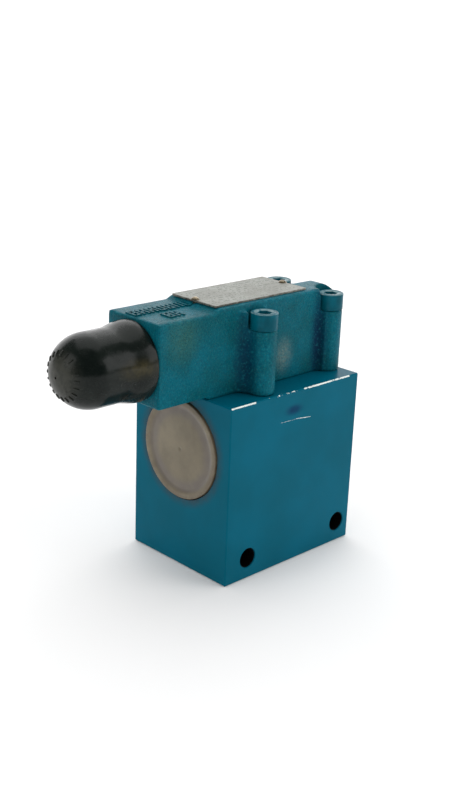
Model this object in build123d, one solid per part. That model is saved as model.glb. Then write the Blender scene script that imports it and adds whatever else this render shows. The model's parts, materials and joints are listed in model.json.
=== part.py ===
from build123d import *
from math import radians, sqrt, tan
import os

# Pilot-operated pressure valve for line mounting, in millimetres, +Z up.
# Origin: centre of the block's bottom face. X runs along the pilot valve, with the rubber cap
# towards -X. The face that the mounting screws enter looks towards -Y.

# Block
block_length = 89.0
block_width = 67.0
block_height = 90.0
block_edge = 0.5

# Mounting holes, through the block along Y
mount_spacing = 65.0
mount_shift = 2.8
mount_height = 10.8
mount_r = 4.85
mount_edge = 0.4

# Main ports, one in each end face, threaded G 1 1/4
port_r = 20.95
port_depth = 20.0
spotface_r = 25.5
spotface_depth = 0.8
outlet_drop = 29.3
inlet_drop = 50.0

# Cartridge, standing in the block
cartridge_x = 4.0
cartridge_r = 13.0
cartridge_depth = 47.0
seated_gap = 0.05
sleeve_bore_r = 9.0
sleeve_step = 4.0
seat_bore_r = 7.5
gallery_r = 11.0
groove_wall = 3.5
groove_below = 1.5
window_r = 4.5
window_count = 6
inlet_drill_r = 9.5
chamber_depth = 20.0

# Main poppet and its spring
running_gap = 0.04
spring_gap = 0.1
main_spring_gap = 0.3
poppet_length = 27.0
poppet_floor = 6.0
poppet_cone = 2.0
poppet_nose = 1.2
poppet_hole_r = 1.5
pocket_r = 6.8
main_wire_r = 0.9
main_turns = 7.5
jet_r = 2.5
jet_length = 4.5
jet_bore_r = 0.6
jet_slot = 0.8
jet_slot_depth = 1.1
jet_drop = 0.5

# Sleeve seals
seal_section_r = 1.15
seal_groove_depth = 2.3
seal_groove_width = 3.0
lower_groove_less = 0.4
backup_width = 1.4
upper_seal_drop = 14.0
lower_seal_rise = 0.8

# Pilot valve casting
pilot_half_width = 18.1
pilot_rise = 40.8
pad_rise = 42.4
pilot_overhang = 30.5
pilot_end = 0.8
relief = 1.2
ramp_length = 3.6
ramp_start = 2.0
top_round = 2.2
corner_round = 1.6
end_round = 9.0
end_top_round = 7.0
pocket_margin = 1.1
pocket_y = -1.5
pocket_rise = 35.0
pocket_round = 6.0
axis_rise = 20.7

# Screw bosses of the casting and their screws, M8
boss_r = 6.5
boss_left = 27.5
boss_right = 7.15
boss_left_edge = 8.5
boss_right_edge = 15.75
boss_rise = 31.4
blend_small = 3.0
blend_end = 0.5
spot_gap = 1.1
screw_r = 4.0
screw_length = 45.0
head_r = 6.5
head_height = 8.0
head_edge = 0.5
hex_key = 6.0
hex_depth = 4.0
hole_gap = 0.5
tapped_depth = 20.0

# Nameplate and its two drive pins
plate_length = 61.2
plate_width = 30.2
plate_thickness = 0.8
plate_from_edge = 5.6
pin_inset = 1.2
pin_r = 1.0
pin_head_r = 2.15
pin_head_height = 1.3
pin_depth = 5.0
pin_end_gap = 0.5
pin_notch_gap = 0.15
plate_corner = 0.8

# Pilot stage inside the casting
adjuster_r = 14.0
adjuster_depth = 14.0
chamber_r = 10.0
chamber_end = 27.5
seat_r = 7.0
seat_length = 10.0
seat_orifice_r = 2.0
passage_r = 2.5
cross_r = 2.0
pilot_cone_angle = 20.0
pilot_cone_length = 7.0
pilot_tip = 2.4
pilot_flange_r = 7.9
pilot_flange = 2.0
pilot_guide_r = 4.3
pilot_guide = 4.0
pilot_seat_edge = 0.05
pilot_wire_r = 1.25
pilot_spring_r = 6.6
pilot_turns = 5.5
plate_disc = 6.0
plate_nose = 3.0
plate_nose_r = 4.5
plate_nose_taper = 0.5
plate_gap = 1.0
chamber_step = 1.5
small_section_r = 0.85
small_groove = 1.9
drain_offset = 24.0
drain_overlap = 3.0
ring_section_r = 0.8
face_seal_land = 0.8
drain_seal_land = 0.5
groove_side_gap = 0.15
press_gap = 0.1
control_jet_r = 3.0
control_jet_rise = 4.0
control_jet_length = 6.0

# Adjuster, outside the casting
collar_ledge = 1.0
collar_length = 8.0
collar_seal_inset = 1.5
hex_length = 6.0
hex_flats = 24.0
adjust_r = 6.0
adjust_out = 29.0
adjust_point = 1.5
adjust_key_depth = 6.0
washer_r = 12.0
washer_thickness = 1.5
washer_gap = 0.4
nut_flats = 19.0
nut_height = 6.5
nut_corner_drop = 1.2
nut_corner_length = 0.7
thread_gap = 0.06

# Rubber cap
cap_wall = 2.05
cap_base_wall = 3.85
cap_length = 42.0
cap_flare = 14.0
cap_land = 2.5
cap_gap = 0.2
cap_hole_r = 0.6

# End plug and vent plug
plug_flange_r = 15.0
plug_flange = 4.8
plug_thread_r = 10.0
plug_length = 20.0
plug_bore_extra = 2.0
lead_in = 0.8
plug_round = 1.2
plug_key = 12.0
plug_key_depth = 7.0
plug_seal_land = 2.2
plug_seal_depth = 1.7
plug_seal_spread = 1.05
plug_seal_inset = 0.85
vent_x = 14.0
vent_r = 6.58
vent_depth = 10.0
vent_flange_r = 9.0
vent_flange = 2.5
vent_key = 6.0
vent_key_depth = 5.0
vent_seal = 1.2
vent_neck_less = 0.5
vent_seal_less = 0.3

# Plastic plugs in the main ports
cover_r = 24.9
cover_rim = 1.7
cover_dish = 0.9
cover_dish_r = 0.78
cover_rim_width = 1.4
cover_rim_edge = 0.5
cover_wall = 1.6
cover_shank_gap = 0.5
cover_shank = 11.0
rib_height = 0.44
rib_width = 0.8
rib_count = 3
rib_first = 2.0
rib_end = 3.0

# Places and sizes worked out from the ones above
collar_r = adjuster_r + collar_ledge
left_face = -block_length / 2
right_face = block_length / 2
front_face = -block_width / 2
outlet_z = block_height - outlet_drop
inlet_z = block_height - inlet_drop
cartridge_floor = block_height - cartridge_depth
pilot_left = left_face - pilot_overhang
pilot_right = right_face + pilot_end
axis_z = block_height + axis_rise
pad_z = block_height + pad_rise
boss_z = block_height + boss_rise
drain_x = cartridge_x - drain_offset
chamber_start = pilot_left + adjuster_depth + chamber_step
chamber_stop = left_face + chamber_end
seat_stop = chamber_stop + seat_length
plug_bore_start = pilot_right - plug_length - plug_bore_extra
plate_left = left_face + plate_from_edge
pocket_x = plate_left + plate_length + pocket_margin
left_y = block_width / 2 - boss_left_edge
right_y = block_width / 2 - boss_right_edge
pocket_z = block_height + pocket_rise
boss_places = [
    (left_face + boss_left, -left_y),
    (left_face + boss_left, right_y),
    (right_face - boss_right, -right_y),
    (right_face - boss_right, right_y),
]
poppet_z = cartridge_floor + sleeve_step
plate_back = chamber_start + plate_gap
plate_front = plate_back + plate_disc


def bar(radius, low, high, axis, centre):
    """Cylinder from low to high along X, Y or Z, through centre on the other two axes."""
    middle = (low + high) / 2
    length = high - low
    if axis == "X":
        return Pos(middle, centre[0], centre[1]) * Rot(0, 90, 0) * Cylinder(radius, length)
    if axis == "Y":
        return Pos(centre[0], middle, centre[1]) * Rot(90, 0, 0) * Cylinder(radius, length)
    return Pos(centre[0], centre[1], middle) * Cylinder(radius, length)


def cuboid(x, y, z):
    """Box between the low and high value on each axis."""
    size = [span[1] - span[0] for span in (x, y, z)]
    middle = [(span[1] + span[0]) / 2 for span in (x, y, z)]
    return Pos(*middle) * Box(*size)


def turned_x(points, centre_z=axis_z):
    """Solid turned about the X line at centre_z, from (x, radius) points."""
    outline = Polyline(*[(x, radius) for x, radius in points], close=True)
    face = Plane.XZ * make_face(outline)
    return Pos(0, 0, centre_z) * revolve(face, Axis.X)


def turned_z(points, centre_x=cartridge_x):
    """Solid turned about the vertical line at centre_x, from (radius, z) points."""
    outline = Polyline(*points, close=True)
    face = Plane.XZ * make_face(outline)
    return Pos(centre_x, 0, 0) * revolve(face, Axis.Z)


def hexagon(flats, low, high, axis, centre):
    """Hexagonal bar of the given width across flats."""
    prism = extrude(RegularPolygon(flats / 2, 6, major_radius=False), high - low)
    if axis == "X":
        return Pos(low, centre[0], centre[1]) * Rot(0, 90, 0) * prism
    if axis == "Y":
        return Pos(centre[0], high, centre[1]) * Rot(90, 0, 0) * prism
    return Pos(centre[0], centre[1], low) * prism


def ring_x(mean_r, section_r, x):
    """O-ring about the pilot axis."""
    return Pos(x, 0, axis_z) * Rot(0, 90, 0) * Torus(mean_r, section_r)


def ring_z(mean_r, section_r, centre, z):
    """O-ring about a vertical line."""
    return Pos(centre[0], centre[1], z) * Torus(mean_r, section_r)


def coil(mean_r, wire_r, length, turns):
    """Compression spring standing on z = 0, wire ends cut square."""
    rise = length - 2 * wire_r
    path = Helix(pitch=rise / turns, height=rise, radius=mean_r)
    start = Plane(origin=path @ 0, z_dir=path % 0)
    wire = sweep(start * Circle(wire_r), path=path, is_frenet=True)
    return Pos(0, 0, wire_r) * wire


def main_block():
    """Block with its ports, cartridge hole, drillings and mounting holes."""
    block = cuboid((left_face, right_face), (front_face, -front_face), (0, block_height))
    block = chamfer(block.edges(), block_edge)
    groove_r = cartridge_r + groove_wall
    floor = cartridge_floor
    cuts = [
        bar(spotface_r, left_face - 1, left_face + spotface_depth, "X", (0, outlet_z)),
        bar(port_r, left_face - 1, left_face + port_depth, "X", (0, outlet_z)),
        bar(gallery_r, left_face + port_depth - 1, cartridge_x - cartridge_r + 2, "X", (0, outlet_z)),
        bar(spotface_r, right_face - spotface_depth, right_face + 1, "X", (0, inlet_z)),
        bar(port_r, right_face - port_depth, right_face + 1, "X", (0, inlet_z)),
        bar(inlet_drill_r, cartridge_x, right_face - port_depth + 1, "X", (0, floor - chamber_depth / 2)),
        bar(cartridge_r, floor, block_height + 1, "Z", (cartridge_x, 0)),
        bar(inlet_drill_r, floor - chamber_depth, floor + 1, "Z", (cartridge_x, 0)),
        bar(groove_r, outlet_z - gallery_r - groove_below, outlet_z + gallery_r, "Z", (cartridge_x, 0)),
        bar(passage_r, outlet_z + gallery_r - drain_overlap, block_height + 1, "Z", (drain_x, 0)),
    ]
    for x, y in boss_places:
        cuts.append(bar(screw_r + seated_gap, block_height - tapped_depth, block_height + 1, "Z", (x, y)))
    for side in (-1, 1):
        x = mount_shift + side * mount_spacing / 2
        cuts.append(bar(mount_r, front_face - 1, -front_face + 1, "Y", (x, mount_height)))
        for face in (front_face, -front_face):
            mouth = Pos(x, face, mount_height) * Rot(90, 0, 0)
            cuts.append(mouth * Cylinder(mount_r + mount_edge, 2 * mount_edge))
    for cut in cuts:
        block -= cut
    return block


def main_sleeve():
    """Cartridge sleeve with the main seat, outlet windows and two seal grooves."""
    outer_r = cartridge_r - seated_gap
    floor = cartridge_floor
    top = block_height - seated_gap
    sleeve = bar(outer_r, floor, top, "Z", (cartridge_x, 0))
    sleeve -= bar(sleeve_bore_r, poppet_z, top + 1, "Z", (cartridge_x, 0))
    sleeve -= bar(seat_bore_r, floor - 1, poppet_z + 1, "Z", (cartridge_x, 0))
    window_z = poppet_z + poppet_cone + window_r
    for index in range(window_count):
        window = Rot(0, 0, index * 360 / window_count) * bar(window_r, 0, outer_r + 1, "X", (0, window_z))
        sleeve -= Pos(cartridge_x, 0, 0) * window
    for low, width in sleeve_grooves():
        groove = bar(outer_r + 1, low, low + width, "Z", (cartridge_x, 0))
        groove -= bar(outer_r - seal_groove_depth, low, low + width, "Z", (cartridge_x, 0))
        sleeve -= groove
    return sleeve


def sleeve_grooves():
    """Start height and width of the upper and the lower seal groove."""
    upper = block_height - upper_seal_drop
    return [
        (upper, seal_groove_width + backup_width),
        (cartridge_floor + lower_seal_rise, seal_groove_width - lower_groove_less),
    ]


def sleeve_seal(index):
    """O-ring in one of the sleeve's grooves, 0 for the upper."""
    low, width = sleeve_grooves()[index]
    width -= backup_width if index == 0 else 0
    mean_r = cartridge_r - seated_gap - seal_groove_depth + seal_section_r
    return ring_z(mean_r, seal_section_r, (cartridge_x, 0), low + width / 2)


def sleeve_backup_ring():
    """Flat ring above the upper O-ring."""
    low = sleeve_grooves()[0][0] + seal_groove_width
    ring = bar(cartridge_r - 2 * seated_gap, low, low + backup_width - seated_gap, "Z", (cartridge_x, 0))
    inner_r = cartridge_r - seal_groove_depth
    return ring - bar(inner_r, low - 1, low + backup_width + 1, "Z", (cartridge_x, 0))


def main_poppet():
    """Hollow piston with a seating cone, a spring pocket and a threaded hole for the jet."""
    outer_r = sleeve_bore_r - running_gap
    slope = (outer_r - seat_bore_r + running_gap) / poppet_cone
    low = poppet_z - poppet_nose
    outline = [
        (seat_bore_r - running_gap - slope * poppet_nose, low),
        (outer_r, poppet_z + poppet_cone),
        (outer_r, poppet_z + poppet_length),
        (pocket_r, poppet_z + poppet_length),
        (pocket_r, poppet_z + poppet_floor),
        (jet_r, poppet_z + poppet_floor),
        (jet_r, poppet_z + poppet_floor - jet_length),
        (poppet_hole_r, poppet_z + poppet_floor - jet_length),
        (poppet_hole_r, low),
    ]
    return turned_z(outline)


def poppet_jet():
    """Threaded restrictor in the poppet floor."""
    low = poppet_z + poppet_floor - jet_length
    jet = bar(jet_r - seated_gap, low, low + jet_length - jet_drop, "Z", (cartridge_x, 0))
    jet -= bar(jet_bore_r, low - 1, low + jet_length, "Z", (cartridge_x, 0))
    top = low + jet_length - jet_drop
    slot = cuboid((-jet_r, jet_r), (-jet_slot / 2, jet_slot / 2), (top - jet_slot_depth, top + 1))
    return jet - Pos(cartridge_x, 0, 0) * slot


def main_spring():
    """Spring between the poppet pocket and the casting."""
    low = poppet_z + poppet_floor + spring_gap
    mean_r = pocket_r - main_wire_r - main_spring_gap
    spring = coil(mean_r, main_wire_r, block_height - spring_gap - low, main_turns)
    return Pos(cartridge_x, 0, low) * spring


def casting_section(top):
    """Cross-section of the casting, flat below and rounded at both top edges."""
    side = pilot_half_width
    turn = top_round
    bend = turn * (1 - sqrt(0.5))
    outline = [
        Line((-side, block_height), (side, block_height)),
        Line((side, block_height), (side, top - turn)),
        ThreePointArc((side, top - turn), (side - bend, top - bend), (side - turn, top)),
        Line((side - turn, top), (turn - side, top)),
        ThreePointArc((turn - side, top), (bend - side, top - bend), (-side, top - turn)),
        Line((-side, top - turn), (-side, block_height)),
    ]
    return make_face(outline)


def casting_trunk():
    """Long body of the casting: low at the adjuster end, ramped up to the nameplate pad."""
    low_top = block_height + pilot_rise
    ramp_low = plate_left - ramp_start
    ramp_high = ramp_low + ramp_length
    plane = Plane(origin=(0, 0, 0), x_dir=(0, 1, 0), z_dir=(1, 0, 0))
    low_part = extrude(plane.offset(pilot_left) * casting_section(low_top), ramp_low - pilot_left)
    high_part = extrude(plane.offset(ramp_high) * casting_section(pad_z), pilot_right - ramp_high)
    lower = plane.offset(ramp_low) * casting_section(low_top)
    upper = plane.offset(ramp_high) * casting_section(pad_z)
    trunk = low_part + loft([lower, upper]) + high_part
    trunk = trunk & Pos(0, 0, block_height - 1) * extrude(casting_plan(), pad_rise + 2)
    return (trunk & casting_side()) - screw_pocket()


def casting_side():
    """Side outline of the trunk, with its far top edge rounded off."""
    middle = (pilot_left + pilot_right) / 2
    outline = Pos(middle, pad_rise / 2) * Rectangle(pilot_right - pilot_left, pad_rise)
    corner = outline.vertices().group_by(Axis.X)[-1].group_by(Axis.Y)[-1]
    outline = fillet(corner, end_top_round)
    side = extrude(Plane.XZ * outline, pilot_half_width + 1, both=True)
    return Pos(0, 0, block_height) * side


def screw_pocket():
    """Room milled round the far back screw, down from the nameplate pad."""
    length = pilot_right + 1 - pocket_x
    width = pilot_half_width + 1 - pocket_y
    plan = Pos(pocket_x + length / 2, pocket_y + width / 2) * Rectangle(length, width)
    corner = plan.vertices().group_by(Axis.X)[0].group_by(Axis.Y)[0]
    return Pos(0, 0, pocket_z) * extrude(fillet(corner, pocket_round), pad_z + 1 - pocket_z)


def casting_plan():
    """Plan outline of the trunk, with small corners at the cap and large ones at the far end."""
    side = pilot_half_width + 0.5
    length = pilot_right - pilot_left
    plan = Pos((pilot_left + pilot_right) / 2, 0) * Rectangle(length, 2 * side)
    near = plan.vertices().group_by(Axis.X)[0]
    plan = fillet(near, corner_round + 0.5)
    far = plan.vertices().group_by(Axis.X)[-1]
    return fillet(far, end_round)


def boss_column(x, y, blends):
    """Screw boss with its web to the wall and a hollow blend on each side."""
    out = 1 if y > 0 else -1
    wall = out * pilot_half_width
    column = bar(boss_r, block_height, boss_z, "Z", (x, y))
    web_y = sorted((wall - out * 2, y))
    column += cuboid((x - boss_r, x + boss_r), web_y, (block_height, boss_z))
    for side, radius in zip((-1, 1), blends):
        edge = x + side * boss_r
        span_x = sorted((edge - side, edge + side * radius))
        span_y = sorted((wall - out * 2, wall + out * radius))
        corner = cuboid(span_x, span_y, (block_height, boss_z + head_height))
        hollow = (edge + side * radius, wall + out * radius)
        corner -= bar(radius, block_height - 1, pad_z + 1, "Z", hollow)
        column += corner
    return column


def pilot_body():
    """Pilot valve casting with its bosses, bores, drillings and seal grooves."""
    body = casting_trunk()
    reach = max(left_y - pilot_half_width, blend_small)
    for x, y in boss_places:
        left_blend = reach if abs(y) > pilot_half_width else blend_small
        right_blend = blend_small if x < 0 else blend_end
        body += boss_column(x, y, (left_blend, right_blend))
    body -= cuboid((pilot_left - 1, left_face), (-left_y, left_y), (block_height - 1, block_height + relief))
    for x, y in boss_places:
        body -= bar(head_r + spot_gap, boss_z, pad_z + 1, "Z", (x, y))
        body -= bar(screw_r + hole_gap, block_height - 1, boss_z + 1, "Z", (x, y))
    return body - pilot_cavities()


def pilot_cavities():
    """Everything drilled into the casting, as one solid."""
    centre = (0, axis_z)
    cavities = bar(adjuster_r, pilot_left - 1, chamber_start, "X", centre)
    cavities += bar(chamber_r, chamber_start - 1, chamber_stop, "X", centre)
    cavities += bar(seat_r, chamber_stop - 1, seat_stop, "X", centre)
    cavities += bar(passage_r, seat_stop - 1, plug_bore_start + 1, "X", centre)
    cavities += bar(plug_thread_r, plug_bore_start, pilot_right + 1, "X", centre)
    seal_start = pilot_right - plug_seal_depth
    cavities += bar(plug_thread_r + plug_seal_land, seal_start, pilot_right + 1, "X", centre)
    cavities += bar(cross_r, block_height + 1, axis_z, "Z", (cartridge_x, 0))
    jet_top = block_height + control_jet_rise + control_jet_length
    cavities += bar(control_jet_r, block_height - 1, jet_top, "Z", (cartridge_x, 0))
    cavities += bar(passage_r, block_height - 1, axis_z - chamber_r + 1, "Z", (drain_x, 0))
    cavities += bar(cross_r, 0, pilot_half_width, "Y", (vent_x, axis_z))
    vent_low = pilot_half_width - vent_depth
    cavities += bar(vent_r, vent_low, pilot_half_width + 1, "Y", (vent_x, axis_z))
    for centre_xy, mean_r in face_seals():
        low = block_height - 1
        high = block_height + 2 * ring_section_r + seated_gap
        groove = bar(mean_r + ring_section_r + groove_side_gap, low, high, "Z", centre_xy)
        groove -= bar(mean_r - ring_section_r - groove_side_gap, low - 1, high + 1, "Z", centre_xy)
        cavities += groove
    for x in pin_places():
        cavities += bar(pin_r + seated_gap, pad_z - pin_depth, pad_z + 1, "Z", (x, 0))
    return cavities


def face_seals():
    """Centre and mean radius of the two O-rings between the casting and the block."""
    return [
        ((cartridge_x, 0), cartridge_r + ring_section_r + face_seal_land),
        ((drain_x, 0), passage_r + ring_section_r + drain_seal_land),
    ]


def interface_seal(index):
    """O-ring in a groove of the casting's underside."""
    centre, mean_r = face_seals()[index]
    return ring_z(mean_r, ring_section_r, centre, block_height + ring_section_r)


def socket_head_screws():
    """Four M8 socket-head cap screws that clamp the casting to the block."""
    screws = []
    for x, y in boss_places:
        top = boss_z + head_height
        screw = bar(head_r, boss_z, top, "Z", (x, y))
        screw = chamfer(screw.edges().group_by(Axis.Z)[-1], head_edge)
        screw += bar(screw_r, boss_z - screw_length, boss_z + 1, "Z", (x, y))
        screw -= hexagon(hex_key, top - hex_depth, top + 1, "Z", (x, y))
        screws.append(screw.solids()[0])
    return Compound(children=screws)


def pin_places():
    """Distances along X of the nameplate pins."""
    return plate_left + pin_inset, plate_left + plate_length - pin_inset


def nameplate():
    """Thin plate with a notch at each end for its pins."""
    middle = plate_left + plate_length / 2
    outline = Pos(middle, 0) * RectangleRounded(plate_length, plate_width, plate_corner)
    for x in pin_places():
        outline -= Pos(x, 0) * Circle(pin_r + pin_notch_gap)
    return Pos(0, 0, pad_z) * extrude(outline, plate_thickness)


def nameplate_pins():
    """Two round-headed drive pins."""
    pins = []
    for x in pin_places():
        low = pad_z + plate_thickness
        dome_r = (pin_head_r ** 2 + pin_head_height ** 2) / (2 * pin_head_height)
        ball = Pos(x, 0, low + pin_head_height - dome_r) * Sphere(dome_r)
        head = ball & cuboid((x - dome_r, x + dome_r), (-dome_r, dome_r), (low, low + dome_r))
        pin = head + bar(pin_r, pad_z - pin_depth + pin_end_gap, low + pin_end_gap, "Z", (x, 0))
        pins.append(pin.solids()[0])
    return Compound(children=pins)


def control_jet():
    """Threaded restrictor in the casting's control passage."""
    low = block_height + control_jet_rise
    high = low + control_jet_length
    jet = bar(control_jet_r - seated_gap, low, high - seated_gap, "Z", (cartridge_x, 0))
    jet -= bar(jet_bore_r, low - 1, high + 1, "Z", (cartridge_x, 0))
    slot = cuboid((-jet_r - 1, jet_r + 1), (-jet_slot / 2, jet_slot / 2), (low - 1, low + jet_slot_depth))
    return jet - Pos(cartridge_x, 0, 0) * slot


def pilot_seat():
    """Pressed-in seat that the pilot poppet closes."""
    seat = bar(seat_r - seated_gap, chamber_stop, seat_stop - seated_gap, "X", (0, axis_z))
    return seat - bar(seat_orifice_r, chamber_stop - 1, seat_stop + 1, "X", (0, axis_z))


def pilot_poppet():
    """Cone with a flange for the pilot spring and a short guide inside it."""
    slope = tan(radians(pilot_cone_angle))
    edge_r = seat_orifice_r - pilot_seat_edge
    back = chamber_stop - pilot_cone_length
    outline = [
        (back - pilot_flange - pilot_guide, 0),
        (back - pilot_flange - pilot_guide, pilot_guide_r - lead_in),
        (back - pilot_flange - pilot_guide + lead_in, pilot_guide_r),
        (back - pilot_flange, pilot_guide_r),
        (back - pilot_flange, pilot_flange_r),
        (back, pilot_flange_r),
        (back, edge_r + slope * pilot_cone_length),
        (chamber_stop + pilot_tip, edge_r - slope * pilot_tip),
        (chamber_stop + pilot_tip, 0),
    ]
    return turned_x(outline)


def pilot_spring():
    """Spring between the spring plate and the pilot poppet."""
    end = chamber_stop - pilot_cone_length - pilot_flange - spring_gap
    spring = coil(pilot_spring_r, pilot_wire_r, end - plate_front - spring_gap, pilot_turns)
    return Pos(plate_front + spring_gap, 0, axis_z) * Rot(0, 90, 0) * spring


def spring_plate():
    """Sealed piston that the adjusting screw pushes against the pilot spring."""
    outer_r = chamber_r - running_gap
    middle = (plate_back + plate_front) / 2
    half = small_section_r + press_gap
    outline = [
        (plate_back, 0),
        (plate_back, outer_r),
        (middle - half, outer_r),
        (middle - half, outer_r - small_groove),
        (middle + half, outer_r - small_groove),
        (middle + half, outer_r),
        (plate_front, outer_r),
        (plate_front, plate_nose_r),
        (plate_front + plate_nose, plate_nose_r - plate_nose_taper),
        (plate_front + plate_nose, 0),
    ]
    return turned_x(outline)


def spring_plate_seal():
    """O-ring in the spring plate's groove."""
    mean_r = chamber_r - running_gap - small_groove + small_section_r + seated_gap
    return ring_x(mean_r, small_section_r, (plate_back + plate_front) / 2)


def adjuster_sleeve():
    """Threaded sleeve that closes the casting and guides the adjusting screw."""
    centre = (0, axis_z)
    outer = pilot_left - collar_length
    inner = pilot_left + adjuster_depth
    groove_r = adjuster_r - seated_gap - small_groove
    sleeve = bar(adjuster_r - seated_gap, pilot_left - 1, inner, "X", centre)
    groove_start = pilot_left + collar_seal_inset
    groove_end = groove_start + 2 * small_section_r + 2 * press_gap
    groove = bar(adjuster_r + 1, groove_start, groove_end, "X", centre)
    groove -= bar(groove_r, groove_start - 1, groove_end + 1, "X", centre)
    sleeve -= groove
    sleeve += bar(collar_r, outer, pilot_left, "X", centre)
    sleeve += hexagon(hex_flats, outer - hex_length, outer, "X", centre)
    return sleeve - bar(adjust_r + thread_gap, outer - hex_length - 1, inner + 1, "X", centre)


def adjuster_sleeve_seal():
    """O-ring in the adjuster sleeve's groove."""
    mean_r = adjuster_r - seated_gap - small_groove + small_section_r + seated_gap
    return ring_x(mean_r, small_section_r, pilot_left + collar_seal_inset + small_section_r + press_gap)


def adjusting_screw():
    """Set screw with a hexagon socket at the outer end."""
    outer = pilot_left - adjust_out
    inner = plate_back - seated_gap
    outline = [
        (outer, 0),
        (outer, adjust_r - lead_in),
        (outer + lead_in, adjust_r),
        (inner - adjust_point, adjust_r),
        (inner, adjust_r - adjust_point),
        (inner, 0),
    ]
    screw = turned_x(outline)
    return screw - hexagon(hex_key, outer - 1, outer + adjust_key_depth, "X", (0, axis_z))


def washer_span():
    """Outer and inner end of the lock washer along X."""
    inner = pilot_left - collar_length - hex_length - seated_gap
    return inner - washer_thickness, inner


def lock_washer():
    """Plain washer under the lock nut."""
    outer, inner = washer_span()
    washer = bar(washer_r, outer, inner, "X", (0, axis_z))
    return washer - bar(adjust_r + washer_gap, outer - 1, inner + 1, "X", (0, axis_z))


def lock_nut():
    """Hexagon nut with its outer corners turned off."""
    inner = washer_span()[0] - seated_gap
    outer = inner - nut_height
    corner_r = nut_flats / sqrt(3)
    nut = hexagon(nut_flats, outer, inner, "X", (0, axis_z))
    outline = [
        (outer, 0),
        (outer, corner_r - nut_corner_drop),
        (outer + nut_corner_length, corner_r),
        (inner - nut_corner_length, corner_r),
        (inner, corner_r - nut_corner_drop),
        (inner, 0),
    ]
    nut = nut & turned_x(outline)
    return nut - bar(adjust_r + thread_gap, outer - 1, inner + 1, "X", (0, axis_z))


def protective_cap():
    """Rubber cap: flared mouth, straight neck, round end with a vent hole."""
    inner_r = collar_r + seated_gap
    cap_r = inner_r + cap_wall
    cap_base_r = inner_r + cap_base_wall
    mouth = pilot_left - cap_gap
    tip = pilot_left - cap_length
    dome = tip + cap_r
    neck = mouth - cap_flare
    land = mouth - cap_land
    eighth = sqrt(0.5)
    outline = [
        Line((mouth, inner_r), (mouth, cap_base_r)),
        Line((mouth, cap_base_r), (land, cap_base_r)),
        Spline((land, cap_base_r), (neck, cap_r), tangents=[(-1, 0), (-1, 0)]),
        Line((neck, cap_r), (dome, cap_r)),
        ThreePointArc((dome, cap_r), (dome - cap_r * eighth, cap_r * eighth), (tip, 0)),
        Line((tip, 0), (dome - inner_r, 0)),
        ThreePointArc((dome - inner_r, 0), (dome - inner_r * eighth, inner_r * eighth), (dome, inner_r)),
        Line((dome, inner_r), (mouth, inner_r)),
    ]
    cap = Pos(0, 0, axis_z) * revolve(Plane.XZ * make_face(outline), Axis.X)
    return cap - bar(cap_hole_r, tip - 1, dome, "X", (0, axis_z))


def end_plug():
    """Flanged screw plug with a hexagon socket, in the far end of the casting."""
    outer = pilot_right + plug_flange
    outline = [
        (pilot_right - plug_length, 0),
        (pilot_right - plug_length, plug_thread_r - lead_in),
        (pilot_right - plug_length + lead_in, plug_thread_r - seated_gap),
        (pilot_right, plug_thread_r - seated_gap),
        (pilot_right, plug_flange_r),
        (outer - plug_round, plug_flange_r),
        (outer, plug_flange_r - plug_round),
        (outer, 0),
    ]
    plug = turned_x(outline)
    return plug - hexagon(plug_key, outer - plug_key_depth, outer + 1, "X", (0, axis_z))


def end_plug_seal():
    """O-ring under the end plug's flange."""
    return ring_x(plug_thread_r + plug_seal_spread, ring_section_r, pilot_right - plug_seal_inset)


def vent_plug():
    """Flanged screw plug with a hexagon socket, in the casting's back wall."""
    wall = pilot_half_width
    centre = (vent_x, axis_z)
    seat = wall + vent_seal
    top = seat + vent_flange
    plug = bar(vent_r - seated_gap, wall - vent_depth + 1, wall + vent_seal / 2, "Y", centre)
    plug += bar(vent_r - vent_neck_less, wall, seat + 1, "Y", centre)
    plug += bar(vent_flange_r, seat, top, "Y", centre)
    return plug - hexagon(vent_key, top - vent_key_depth, top + 1, "Y", centre)


def vent_plug_seal():
    """Flat sealing ring under the vent plug's flange."""
    wall = pilot_half_width
    ring = bar(vent_flange_r - vent_seal_less, wall, wall + vent_seal, "Y", (vent_x, axis_z))
    return ring - bar(vent_r + press_gap, wall - 1, wall + 2, "Y", (vent_x, axis_z))


def port_cover(side):
    """Push-in plastic plug: dished disc with a rim, and a ribbed hollow shank. Side is -1 or 1."""
    face = side * block_length / 2
    port_z = outlet_z if side < 0 else inlet_z
    shank_r = port_r - cover_shank_gap
    top = face + side * (cover_rim - spotface_depth)
    seat = face - side * spotface_depth
    end = seat - side * cover_shank
    dish = top - side * cover_dish
    outline = [
        (top - side * cover_dish / 2, 0),
        (dish, cover_r * cover_dish_r),
        (top, cover_r - cover_rim_edge - cover_rim_width),
        (top, cover_r - cover_rim_edge),
        (top - side * cover_rim_edge, cover_r),
        (seat, cover_r),
        (seat, shank_r),
    ]
    for index in range(rib_count):
        rib = seat - side * (rib_first + index * (cover_shank - rib_end) / rib_count)
        outline += [
            (rib, shank_r),
            (rib, shank_r + rib_height),
            (rib - side * rib_width, shank_r + rib_height),
            (rib - side * rib_width, shank_r),
        ]
    floor = dish - side * cover_wall
    outline += [
        (end, shank_r),
        (end, shank_r - cover_wall),
        (floor, shank_r - cover_wall),
        (floor, 0),
    ]
    return turned_x(outline, port_z)


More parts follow.
